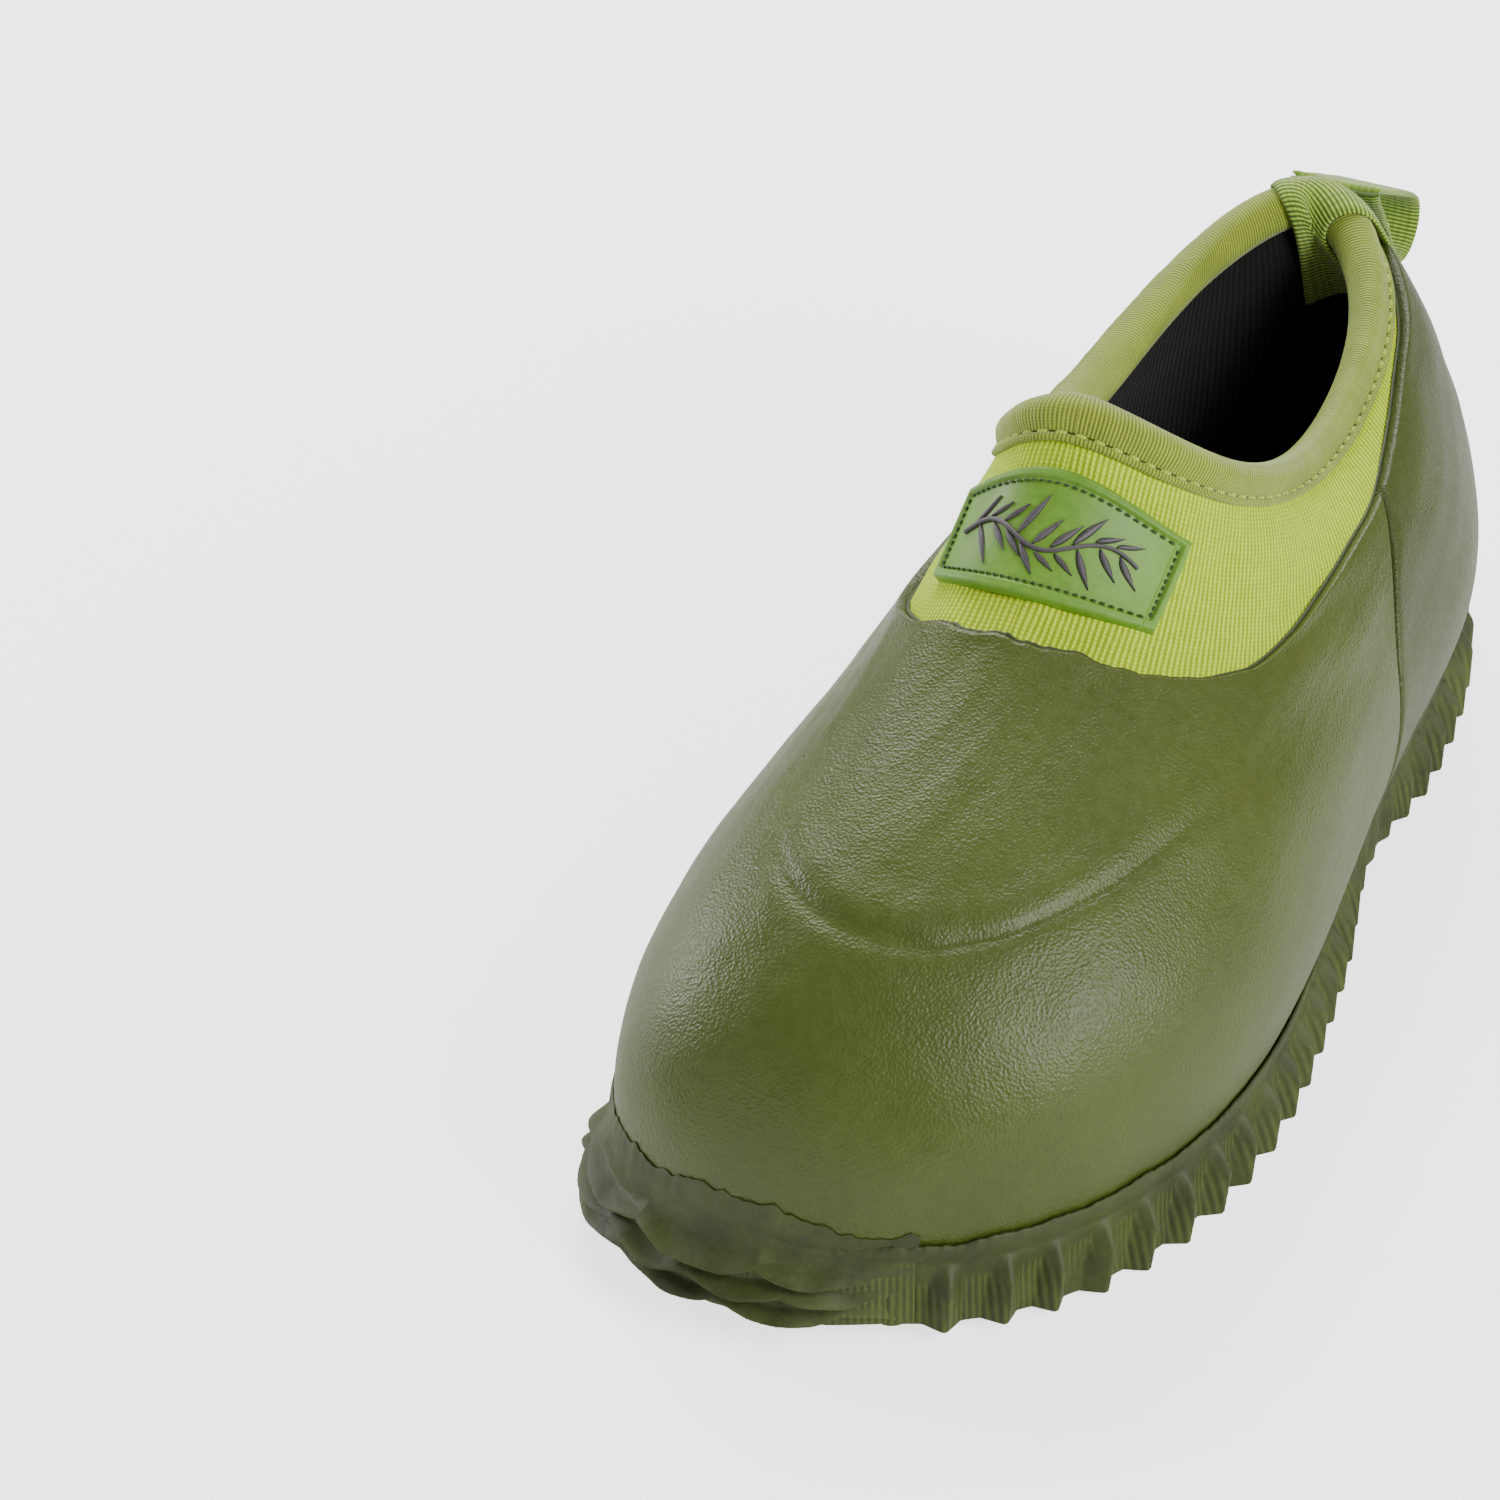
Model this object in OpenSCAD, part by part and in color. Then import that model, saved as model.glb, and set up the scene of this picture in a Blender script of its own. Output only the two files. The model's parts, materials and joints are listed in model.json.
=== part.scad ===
// Slip-on garden clog: rubber foot on a knit neoprene sock, with a lugged outsole.
// Units are millimetres. Toe towards -Y, heel towards +Y, outer side of the foot towards +X,
// +Z up, ground at Z = 0. This is the left shoe of a pair; its mate is the mirror image.

/* [Size] */
// length of the clog from the toe bumper to the heel lugs
shoe_length = 285; // [230:1:360]
// width across the ball of the foot, over the lug ends
shoe_width = 111; // [95:1:150]
// height of the collar's front peak above the ground
collar_height = 118; // [90:1:150]

/* [Sole] */
// height of the seam between sole and upper at the ball of the foot
sole_thickness = 14; // [11:0.5:24]
// how far the toe end of the tread lifts off the ground
toe_spring = 4.5; // [0:0.5:12]
// lift of the tread under the waist of the foot
arch_lift = 3; // [0:0.5:6]
// depth of the tread lugs
lug_depth = 4; // [3:0.1:7]
// distance between neighbouring lugs along the edge
lug_pitch = 9.5; // [7:0.1:14]
// how far the lug ends stand out from the sole wall
lug_reach = 3; // [1:0.1:6]
// thickness of the outsole plate above the lugs
plate_thickness = 4; // [3:0.1:6]
// thickness of the outsole's side wall
wall_thickness = 1.8; // [1:0.1:4]
// thickness of the lasting board
board_thickness = 1.6; // [1:0.1:2.4]
// thickness of the removable footbed's foam
footbed_thickness = 5; // [3:0.1:8]
// thickness of the footbed's cloth cover
cover_thickness = 1; // [0.6:0.1:2]

/* [Upper] */
// thickness of the rubber vamp and heel shells
rubber_thickness = 2; // [1.2:0.1:3]
// thickness of the neoprene sock
neoprene_thickness = 4; // [2.5:0.1:6]
// thickness of the inner lining
lining_thickness = 1.2; // [0.8:0.1:2]
// clearance left for glue between bonded layers
bond_gap = 0.3; // [0.2:0.05:0.5]
// position of the side seams between the vamp and the heel shell, in ring steps from the toe
side_seam = 3.95; // [3.6:0.05:4.4]
// number of ridges on the toe bumper
bumper_ridges = 3; // [2:1:4]
// height of each bumper ridge above the bumper's base
ridge_height = 2.6; // [0.8:0.1:4]

/* [Collar] */
// depth of the rolled binding on the outside of the collar
binding_depth = 7; // [5:0.5:12]
// thickness of the binding tape
binding_thickness = 1.4; // [0.8:0.1:2]
// distance between stitches
stitch_pitch = 4.5; // [3:0.1:8]
// width of the webbing at the back of the collar
tape_width = 20; // [14:0.5:26]
// thickness of the webbing
tape_thickness = 1.4; // [1:0.1:2]
// length of the pull loop from its root to its far end
loop_length = 32; // [22:0.5:45]
// radius of the pull loop's round end
loop_radius = 7; // [5:0.5:10]
// angle of the pull loop below the horizontal when it hangs at rest
loop_droop = 45; // [20:1:60]

/* [Badge] */
// width of the badge on the instep
badge_width = 44; // [30:0.5:56]
// height of the badge
badge_height = 22; // [14:0.5:28]
// thickness of the badge's raised rim
badge_thickness = 2.2; // [1.4:0.1:3]
// depth of the badge's recessed field below its rim
field_depth = 0.8; // [0.3:0.1:1.2]

/* [Hidden] */

// control rings of the neoprene's outer face, from the sole seam up to the collar edge;
// each has 12 points, from the toe round the outer side to the heel and back
ring_x = [[-10, 24, 46, 52, 35, 37, 4, -29, -24, -45, -49, -40],
          [-8, 32, 57, 61, 48, 44, 3, -37, -33, -50, -53, -42],
          [-5, 22, 42, 47, 43, 39, 2, -34, -31, -38, -36, -29],
          [-4, 8, 24, 36, 39, 32, 0, -31, -33, -32, -24, -15],
          [-4, 8, 20, 28, 30, 24, -2, -29, -33, -32, -26, -16],
          [-6, 6, 15, 19, 18, 14, -7, -29, -32, -29, -23, -15]];
ring_y = [[-140, -127, -92, -46, 25, 97, 149, 97, 23, -54, -98, -131],
          [-146, -131, -91, -45, 26, 99, 153, 99, 23, -56, -100, -136],
          [-122, -106, -76, -36, 32, 96, 149, 96, 28, -46, -85, -113],
          [-75, -64, -46, -20, 40, 92, 139, 92, 38, -26, -53, -67],
          [-33, -28, -18, 4, 47, 94, 127, 95, 45, 1, -20, -30],
          [-12, -8, 1, 17, 50, 95, 122, 99, 51, 15, -4, -12]];
ring_z = [[21, 20, 18, 18, 18, 19, 20, 19, 18, 18, 18, 20],
          [42, 42, 44, 44, 40, 38, 41, 38, 42, 46, 43, 42],
          [70, 69, 69, 67, 60, 58, 61, 57, 61, 69, 70, 70],
          [79, 81, 81, 79, 71, 75, 80, 74, 74, 81, 83, 82],
          [96, 95, 92, 86, 78, 89, 96, 91, 81, 89, 95, 96],
          [122, 116, 107, 96, 83, 93, 107, 96, 84, 94, 108, 119]];
// top edge of the rubber, as a share of the way from the sole seam to the collar edge
edge_table = [[0, 0.805], [1, 0.785], [2, 0.725], [2.8, 0.68], [3.4, 0.74], [3.95, 0.79],
              [4.3, 0.85], [4.7, 0.885], [5.4, 0.895], [6, 0.885]];

scale_x = shoe_width / 111;
scale_y = shoe_length / 285;
scale_z = (collar_height - sole_thickness) / 104;
ring_steps = 72;
low_rows = 9;
rubber_out = bond_gap + rubber_thickness;
lining_out = -neoprene_thickness - bond_gap;
lining_in = lining_out - lining_thickness;
wall_in = rubber_out + 0.5;
wall_out = wall_in + wall_thickness;
plate_top = lug_depth + plate_thickness;
board_top = sole_thickness - 0.4;
board_low = board_top - board_thickness;
footbed_low = sole_thickness - 0.1;
footbed_top = footbed_low + footbed_thickness;

// control points with the chosen length, width and height
control = [for (r = [0:5]) [for (i = [0:11])
    [ring_x[r][i] * scale_x,
     ring_y[r][i] * scale_y,
     sole_thickness + (ring_z[r][i] - 18) * scale_z]]];

function unit(a) = a / norm(a);
function smooth(t) = let (c = max(0, min(1, t))) c * c * (3 - 2 * c);

// weights of four neighbouring points on an even cubic spline, and their slopes
function spline_w(t) = [pow(1 - t, 3), 3 * t * t * t - 6 * t * t + 4,
                        -3 * t * t * t + 3 * t * t + 3 * t + 1, t * t * t] / 6;
function spline_d(t) = [-(1 - t) * (1 - t), 3 * t * t - 4 * t,
                        -3 * t * t + 2 * t + 1, t * t] / 2;
function round_the_ring(u, r, w) = let (i = floor(u))
    [for (k = [0:3]) w[k]] * [for (k = [0:3]) control[r][(i + k + 11) % 12]];
function wrap(u) = u < 0 ? u + 12 : (u >= 12 ? u - 12 : u);
function column(u) = let (c = wrap(u), t = c - floor(c), w = spline_w(t))
    [for (r = [0:5]) round_the_ring(c, r, w)];
function column_slope(u) = let (c = wrap(u), t = c - floor(c), w = spline_d(t))
    [for (r = [0:5]) round_the_ring(c, r, w)];

// weights of the six rings at height share v
knots = [0, 0, 0, 0, 1 / 3, 2 / 3, 1, 1, 1, 1];
function ratio(a, b) = b == 0 ? 0 : a / b;
function rise(i, p, v) = p == 0
    ? ((v >= knots[i] && v < knots[i + 1]) || (v == 1 && i == 5) ? 1 : 0)
    : ratio(v - knots[i], knots[i + p] - knots[i]) * rise(i, p - 1, v)
      + ratio(knots[i + p + 1] - v, knots[i + p + 1] - knots[i + 1]) * rise(i + 1, p - 1, v);
function rise_w(v) = [for (i = [0:5]) rise(i, 3, v)];
function rise_d(v) = let (a = max(0, v - 0.002), b = min(1, v + 0.002))
    (rise_w(b) - rise_w(a)) / (b - a);

// a column of the upper: its ring points, their slopes round the ring, and its place
function make_column(u) = [column(u), column_slope(u), u];
// outward direction on a column; it lies level at the sole seam
function outward(c, v) = let (n = unit(cross(rise_w(v) * c[1], rise_d(v) * c[0])))
    unit([n.x, n.y, n.z * min(1, v * 8)]);
// point at height share v, d outside the neoprene's outer face
function at(c, v, d) = rise_w(v) * c[0] + d * outward(c, v);
// point beyond the collar edge: a outwards and b upwards
function over(c, a, b) = c[0][5] + a * outward(c, 1) + b * unit(rise_d(1) * c[0]);

// height share a given distance below the collar edge
function below_edge(c, depth) = 1 - depth / norm(rise_d(0.985) * c[0]);
function rubber_edge(u) = lookup(abs(u > 6 ? 12 - u : u), edge_table);
// the rubber ends below the binding
function rubber_top(c) = min(rubber_edge(wrap(c[2])), below_edge(c, binding_depth + bond_gap));
function low_shares(c) = let (e = rubber_top(c)) [for (k = [0:low_rows]) e * k / low_rows];
function high_shares(c) = let (e = rubber_top(c), b = below_edge(c, binding_depth))
    [e + (b - e) / 3, e + (b - e) * 2 / 3, b, (b + 1) / 2, 1];
function backwards(a) = [for (i = [len(a) - 1:-1:0]) a[i]];

// columns on the shared grid between two places round the ring
function grid_between(a, b) = [for (i = [-ring_steps:2 * ring_steps])
    let (u = (i + 0.5) * 12 / ring_steps) if (u > a + 0.03 && u < b - 0.03) u];
function columns_between(a, b) = [for (u = concat([a], grid_between(a, b), [b])) make_column(u)];
// every layer that runs all the way round also has a column at each side of the webbing
tape_half = tape_width / 2 / norm(column_slope(6)[5]);
all_columns = [for (u = concat(grid_between(0, 6 - tape_half), [6 - tape_half],
                               grid_between(6 - tape_half, 6 + tape_half), [6 + tape_half],
                               grid_between(6 + tape_half, 12))) make_column(u)];

// closed outline of a layer across one column
function layer_loop(c, shares, d_out, d_in) = concat(
    [for (v = shares) at(c, v, d_out)],
    [for (v = backwards(shares)) at(c, v, d_in)]);

// solid through a row of outlines; the ends are closed unless it meets itself
module loft(loops, meets = false) {
    n = len(loops);
    m = len(loops[0]);
    sides = [for (i = [0:meets ? n - 1 : n - 2]) for (k = [0:m - 1])
        let (a = i * m + k, b = i * m + (k + 1) % m,
             c = (i + 1) % n * m + (k + 1) % m, d = (i + 1) % n * m + k)
        each [[a, b, c], [a, c, d]]];
    ends = meets ? [] : [for (k = [0:m / 2 - 2])
        let (a = k, b = k + 1, c = m - 2 - k, d = m - 1 - k, s = (n - 1) * m)
        each [[a, d, c], [a, c, b], [a + s, b + s, c + s], [a + s, c + s, d + s]]];
    polyhedron([for (l = loops) for (p = l) p - centre], concat(sides, ends), convexity = 10);
}

// ---- sole ----

// underside of the tread at y: level, lifted at the toe and under the waist
function tread_z(y) = let (s = y / scale_y)
    toe_spring * smooth((-75 - s) / 75) * smooth((-75 - s) / 75)
    + arch_lift * smooth(1 - abs(s - 28) / 32);
// point of the sole at column c, d outside the sole seam, h up from the tread
function sole_at(c, d, h) = let (q = at(c, 0, d), z = tread_z(q.y))
    [q.x, q.y, z + h / sole_thickness * (c[0][0].z - z)];

// even steps along the sole seam: a table from distance to place on the ring
seam_points = [for (i = [0:144]) column(i / 12)[0]];
function run(i) = i == 0 ? 0 : norm(seam_points[i] - seam_points[i - 1]) + run(i - 1);
seam_table = [for (i = [0:144]) [run(i), i / 12]];
seam_run = run(144);
lug_count = 2 * round(seam_run / lug_pitch / 2);
function seam_place(s) = lookup((s + seam_run) % seam_run, seam_table);
lug_columns = [for (i = [0:2 * lug_count - 1])
    make_column(seam_place((i + 0.5) * seam_run / lug_count / 2))];
// lug tips lean towards the toe as they go down
function lean(u) = -2.5 * sin(30 * u);
leaning_columns = [for (i = [0:2 * lug_count - 1])
    let (s = (i + 0.5) * seam_run / lug_count / 2)
    make_column(seam_place(s + lean(seam_place(s))))];
// reach of the lug ends: full at toe, ball and heel, small under the waist
function reach(c) = let (y = c[0][0].y / scale_y)
    lug_reach * (1 - 0.75 * smooth(1 - abs(y - 28) / 36));
// no lug ends stand out behind the toe bumper
function bumper_side(c) = c[2] > 6 ? c[2] - 12 : c[2];
function behind_bumper(c) = bumper_side(c) > bumper_from - 0.15 && bumper_side(c) < bumper_to + 0.15;
function tip(i, c) = i % 2 == 0 && !behind_bumper(c) ? reach(c) : 0.2;
// between the lug ends the wall swells out towards the tread
function dip(c) = behind_bumper(c) ? 0.2 : reach(c) * 0.45;

module outsole() {
    last = 2 * lug_count - 1;
    a = lug_columns;
    b = leaning_columns;
    color([0.08, 0.09, 0.04]) union() {
        loft([[for (i = [0:last]) sole_at(a[i], wall_in, plate_top)],
              [for (i = [0:last]) sole_at(a[i], wall_in, sole_thickness)],
              [for (i = [0:last]) at(a[i], 0.022, wall_in)],
              [for (i = [0:last]) at(a[i], 0.022, wall_in + 1)],
              [for (i = [0:last]) sole_at(a[i], wall_out, sole_thickness)],
              [for (i = [0:last]) sole_at(a[i], wall_out + tip(i, a[i]), sole_thickness - 2)],
              [for (i = [0:last]) sole_at(b[i], wall_out + max(tip(i, a[i]), dip(a[i])), 0)],
              [for (i = [0:last]) sole_at(b[i], -3, 0)],
              [for (i = [0:last]) sole_at(b[i], -3.5, lug_depth)]]);
        for (i = [4:2:lug_count - 5]) tread_bar(b[i], b[last - i]);
    }
}

// one lug across the sole, from the outer to the inner edge band, a little shallower than it
module tread_bar(c, d) {
    p = at(c, 0, -2);
    q = at(d, 0, -2);
    w = lug_pitch * 0.27;
    top = lug_depth + 0.5;
    loft([for (e = [p, q]) let (z = tread_z(e.y) + 0.2)
          [[e.x, e.y - w, z], [e.x, e.y + w, z], [e.x, e.y + w, z + top], [e.x, e.y - w, z + top]]]);
}

// flat layer of the sole with the outline d outside the seam
module sole_layer(d, low, high) {
    loft([[for (c = all_columns) sole_at(c, d, high)],
          [for (c = all_columns) sole_at(c, d, low)]]);
}

module midsole() {
    color([0.3, 0.3, 0.28]) sole_layer(wall_in - 0.5, plate_top + 0.2, board_low - 0.2);
}

module lasting_board() {
    color([0.45, 0.38, 0.25]) sole_layer(rubber_out - 0.3, board_low, board_top);
}

module footbed() {
    color([0.1, 0.1, 0.1]) sole_layer(lining_in - 0.5, footbed_low, footbed_top);
}

module footbed_cover() {
    color([0.05, 0.05, 0.05])
        sole_layer(lining_in - 0.8, footbed_top + 0.2, footbed_top + 0.2 + cover_thickness);
}

// ---- upper ----

module vamp_shell() {
    color([0.19, 0.22, 0.1])
        loft([for (c = columns_between(-side_seam, side_seam))
              layer_loop(c, low_shares(c), rubber_out, bond_gap)]);
}

module heel_shell() {
    gap = 0.012;
    color([0.15, 0.17, 0.08])
        loft([for (c = columns_between(side_seam + gap, 12 - side_seam - gap))
              layer_loop(c, low_shares(c), rubber_out, bond_gap)]);
}

module neoprene_upper() {
    color([0.48, 0.55, 0.13])
        loft([for (c = all_columns)
              layer_loop(c, concat(low_shares(c), high_shares(c)), 0, -neoprene_thickness)], true);
}

module lining() {
    color([0.02, 0.02, 0.02])
        loft([for (c = all_columns)
              layer_loop(c, concat(low_shares(c), high_shares(c)), lining_out, lining_in)], true);
}

// toe bumper: wavy ridges stacked up the toe, outside the outsole's wall and over its lip
bumper_from = -1.7;
bumper_to = 0.8;
bumper_rows = 4 * bumper_ridges + 2;
bumper_inner = [[0, wall_out + 0.5], [0.72, wall_out + 0.5], [0.86, wall_in + 1.5],
                [0.92, rubber_out + 0.35], [1, rubber_out + 0.35]];
// point of the bumper at column c, share s of the way up and d outside the neoprene's face
function bumper_at(c, s, d) = s < 0.72
    ? sole_at(c, d, 1 + s / 0.72 * (sole_thickness - 1))
    : at(c, (s - 0.72) / 0.28 * 0.055, d);
function bumper_end(c) = let (t = (c[2] - bumper_from) / (bumper_to - bumper_from))
    0.3 + 0.7 * smooth(min(t, 1 - t) * 5);
function bumper_skin(c, s) = lookup(s, bumper_inner) + 1.6
    + bumper_end(c) * ridge_height * (0.5 - 0.5 * cos(360 * s * bumper_ridges))
    * (s > 0.86 ? 0.2 : 1);
bumper_loops = [for (c = columns_between(bumper_from, bumper_to)) concat(
    [for (k = [0:bumper_rows]) let (s = k / bumper_rows) bumper_at(c, s, bumper_skin(c, s))],
    [for (k = [bumper_rows:-1:0]) let (s = k / bumper_rows)
     bumper_at(c, s, lookup(s, bumper_inner))])];

module toe_bumper() {
    color([0.08, 0.09, 0.04]) loft(bumper_loops);
}

// ---- collar ----

bind_gap = bond_gap;
bind_out = bind_gap + binding_thickness;
bind_in = lining_in - bind_gap;

function binding_loop(c) = let (b = below_edge(c, binding_depth), m = (b + 1) / 2,
    t = binding_thickness, half = lining_in / 2)
    [at(c, b, bind_out - 0.3), at(c, m, bind_out + 0.2), over(c, bind_out, 0),
     over(c, bind_out - t * 0.7, bind_gap + t * 0.8), over(c, half + 1, bind_gap + t * 1.3),
     over(c, half - 1, bind_gap + t * 1.3), over(c, bind_in - t * 0.3, bind_gap + t * 0.8),
     over(c, bind_in - t, 0), at(c, m, bind_in - t), at(c, b, bind_in - t + 0.3),
     at(c, b, bind_in), at(c, m, bind_in), over(c, bind_in, 0), over(c, bind_in, bind_gap),
     over(c, half - 1, bind_gap), over(c, half + 1, bind_gap),
     over(c, bind_gap, bind_gap), over(c, bind_gap, 0), at(c, m, bind_gap), at(c, b, bind_gap)];

module collar_binding() {
    color([0.45, 0.5, 0.14])
        loft([for (c = all_columns) binding_loop(c)], true);
}

// a short run of thread: four-sided, from one point to the next, lying on a surface
module thread(p, q, up, w) {
    s = unit(cross(q - p, up)) * w;
    h = unit(up) * w;
    loft([[p - s, p + s, p + s + h, p - s + h], [q - s, q + s, q + s + h, q - s + h]]);
}

// stitches round the collar, on the outside of the binding near its lower edge
collar_points = [for (i = [0:72]) column(i / 6)[5]];
function collar_run(i) = i == 0 ? 0 : norm(collar_points[i] - collar_points[i - 1]) + collar_run(i - 1);
collar_table = [for (i = [0:72]) [collar_run(i), i / 6]];
collar_stitches = floor(collar_run(72) / stitch_pitch);

module binding_stitching() {
    color([0.6, 0.62, 0.3]) for (i = [0:collar_stitches - 1]) {
        s = i * collar_run(72) / collar_stitches;
        c = make_column(lookup(s, collar_table));
        d = make_column(lookup(s + stitch_pitch * 0.6, collar_table));
        u = below_edge(c, binding_depth * 0.78);
        v = below_edge(d, binding_depth * 0.78);
        if (abs(c[2] - 6) > 0.6)
            thread(at(c, u, bind_out + 0.35), at(d, v, bind_out + 0.35), outward(c, u), 0.35);
    }
}

// ---- badge ----

// badge coordinates: p across and q up, each from -1 to 1; its top and bottom edges arch up
badge_mid = make_column(0);
badge_span = badge_width / 2 / norm(rise_w(0.89) * column_slope(0)) * 0.93;
badge_rise = badge_height / 2 / norm(rise_d(0.89) * column(0)) * 0.8;
function badge_column(p, q) = make_column(-0.05 + badge_span * p * (1 + 0.05 * q));
function badge_share(p, q) = 0.876 + badge_rise * q + badge_rise * 0.75 * (0.5 - p * p);
function on_badge(p, q, d) = at(badge_column(p, q), badge_share(p, q), d);
badge_low = 0.45;
badge_cols = 20;
// rim is full thickness; the field inside it is recessed
function badge_skin(p, q) = badge_low + badge_thickness
    - field_depth * (abs(p) < 0.87 && abs(q) < 0.72 ? 1 : 0);
badge_across = [-1, -0.88, -0.86, -0.74, -0.62, -0.5, -0.37, -0.25, -0.12, 0,
                0.12, 0.25, 0.37, 0.5, 0.62, 0.74, 0.86, 0.88, 1];
badge_up = [-1, -0.74, -0.7, -0.35, 0, 0.35, 0.7, 0.74, 1];

module badge() {
    color([0.2, 0.36, 0.08])
        loft([for (p = badge_across) concat(
              [for (q = badge_up) on_badge(p, q, badge_skin(p, q))],
              [for (q = backwards(badge_up)) on_badge(p, q, badge_low)])]);
}

// a leaf lying on the badge's field, from its stalk to its tip
motif_low = badge_low + badge_thickness - field_depth + 0.1;
module leaf(p, q, length, angle) {
    tilt = [cos(angle) * 0.5, sin(angle)];
    side = [-sin(angle) * 0.5, cos(angle)];
    loft([for (k = [0:6]) let (s = k / 6, w = 0.03 + 0.16 * sin(180 * pow(s, 0.8)) * (1 - s * 0.3),
              f = [p, q] + tilt * length * s, l = f + side * w, r = f - side * w)
          [on_badge(l.x, l.y, motif_low), on_badge(r.x, r.y, motif_low),
           on_badge(f.x, f.y, motif_low + 0.6), on_badge(l.x, l.y, motif_low + 0.25)]]);
}

module badge_motif() {
    color([0.09, 0.08, 0.09]) {
        loft([for (k = [0:12]) let (p = -0.72 + k * 0.11, q = 0.22 * sin(k * 30))
              [on_badge(p, q + 0.05, motif_low), on_badge(p, q - 0.05, motif_low),
               on_badge(p, q - 0.05, motif_low + 0.5), on_badge(p, q + 0.05, motif_low + 0.5)]]);
        for (k = [1:2:9]) {
            leaf(-0.69 + k * 0.11, 0.22 * sin(k * 30) + 0.14, 0.42, 50);
            leaf(-0.63 + k * 0.11, 0.22 * sin(k * 30 + 15) - 0.14, 0.42, -50);
        }
    }
}

module badge_stitching() {
    color([0.06, 0.09, 0.03]) {
        for (i = [0:11], q = [-0.87, 0.87]) {
            p = -0.9 + i * 0.155;
            thread(on_badge(p, q, badge_low + badge_thickness + 0.1),
                   on_badge(p + 0.095, q, badge_low + badge_thickness + 0.1),
                   outward(badge_column(p, q), badge_share(p, q)), 0.25);
        }
        for (j = [0:4], p = [-0.94, 0.94]) {
            q = -0.68 + j * 0.29;
            thread(on_badge(p, q, badge_low + badge_thickness + 0.1),
                   on_badge(p, q + 0.18, badge_low + badge_thickness + 0.1),
                   outward(badge_column(p, q), badge_share(p, q)), 0.25);
        }
    }
}

// ---- webbing at the back ----

tape_clear = 0.4;
tape_columns = [for (u = concat([6 - tape_half], grid_between(6 - tape_half, 6 + tape_half),
                                [6 + tape_half])) make_column(u)];
function tape_loop(c) = let (b = below_edge(c, binding_depth), e = below_edge(c, binding_depth + 3),
    m = (b + 1) / 2, o = bind_out + 0.2 + tape_clear, i = bind_in - binding_thickness - tape_clear,
    t = tape_thickness, top = bind_gap + binding_thickness * 1.3 + tape_clear)
    [at(c, e, o + t), at(c, m, o + t), over(c, o + t, top * 0.4), over(c, o - 1.2 + t, top + t * 0.8),
     over(c, lining_in / 2, top + t * 1.1), over(c, i + 1.2 - t, top + t * 0.8), over(c, i - t, top * 0.4),
     at(c, m, i - t), at(c, 0.84, i - t), at(c, 0.74, i - t),
     at(c, 0.74, i), at(c, 0.84, i), at(c, m, i), over(c, i, top * 0.4), over(c, i + 1.2, top),
     over(c, lining_in / 2, top + 0.1), over(c, o - 1.2, top), over(c, o, top * 0.4), at(c, m, o),
     at(c, e, o)];

module collar_tape() {
    color([0.3, 0.4, 0.1]) loft([for (c = tape_columns) tape_loop(c)]);
}

// three short rows of thread tack the loop's root to the tape
module loop_stitching() {
    o = bind_out + 0.2 + tape_clear + tape_thickness + 0.1;
    color([0.35, 0.45, 0.15]) for (k = [0:1], j = [-3:3]) {
        c = make_column(6 + tape_half * (j - 0.35) / 4);
        d = make_column(6 + tape_half * (j + 0.35) / 4);
        u = below_edge(c, binding_depth * 0.95 + k * 1.4);
        v = below_edge(d, binding_depth * 0.95 + k * 1.4);
        thread(at(c, u, o + 0.1), at(d, v, o + 0.1), outward(c, u), 0.3);
    }
}

// hinge line of the pull loop, just outside the tape below the collar's back edge
back = make_column(6);
loop_root = at(back, below_edge(back, binding_depth * 0.4),
               bind_out + 0.2 + tape_clear + tape_thickness + 2.1);
loop_reach = loop_length - loop_radius - tape_thickness;
tangent = acos((loop_radius - 0.3) / loop_reach);
// drop-shaped outline: a narrow root and a round end, g outside the webbing's mid-line
function drop(g) = let (r = loop_radius + g, n = 0.9 + g)
    concat([for (a = [180 - tangent:-10:tangent - 180]) [loop_reach + r * cos(a) * 1, r * sin(a)]],
           [for (a = [-tangent:-15:-180]) [n * cos(a), n * sin(a)]],
           [for (a = [180:-15:tangent]) [n * cos(a), n * sin(a)]]);

// box round the whole part: the lug tips, the toe bumper and the far end of the pull loop
lug_tips = [for (i = [0:2:2 * lug_count - 1]) each
    [sole_at(lug_columns[i], wall_out + tip(i, lug_columns[i]), sole_thickness - 2),
     sole_at(leaning_columns[i], wall_out + tip(i, lug_columns[i]), 0)]];
toe_end = min([for (l = bumper_loops) for (p = l) p.y]);
loop_end = loop_root.y + loop_reach * cos(loop_droop) + loop_radius + tape_thickness / 2;
// its middle is moved to the origin
centre = [max([for (p = lug_tips) p.x]) + min([for (p = lug_tips) p.x]),
          max(loop_end, max([for (p = lug_tips) p.y])) + toe_end, 0] / 2;

module pull_loop() {
    color([0.35, 0.46, 0.13])
        translate(loop_root - centre) rotate([-loop_droop, 0, 0])
        rotate([90, 0, 90])
        translate([0, 0, -tape_width / 2 + 0.5])
        linear_extrude(tape_width - 1) difference() {
            polygon(drop(tape_thickness / 2));
            polygon(drop(-tape_thickness / 2));
        }
}

outsole();
midsole();
lasting_board();
footbed();
footbed_cover();
vamp_shell();
heel_shell();
toe_bumper();
neoprene_upper();
lining();
collar_binding();
binding_stitching();
badge();
badge_motif();
badge_stitching();
collar_tape();
loop_stitching();
pull_loop();
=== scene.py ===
import json
import math

import bpy
import numpy as np
from mathutils import Matrix, Vector


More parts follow.
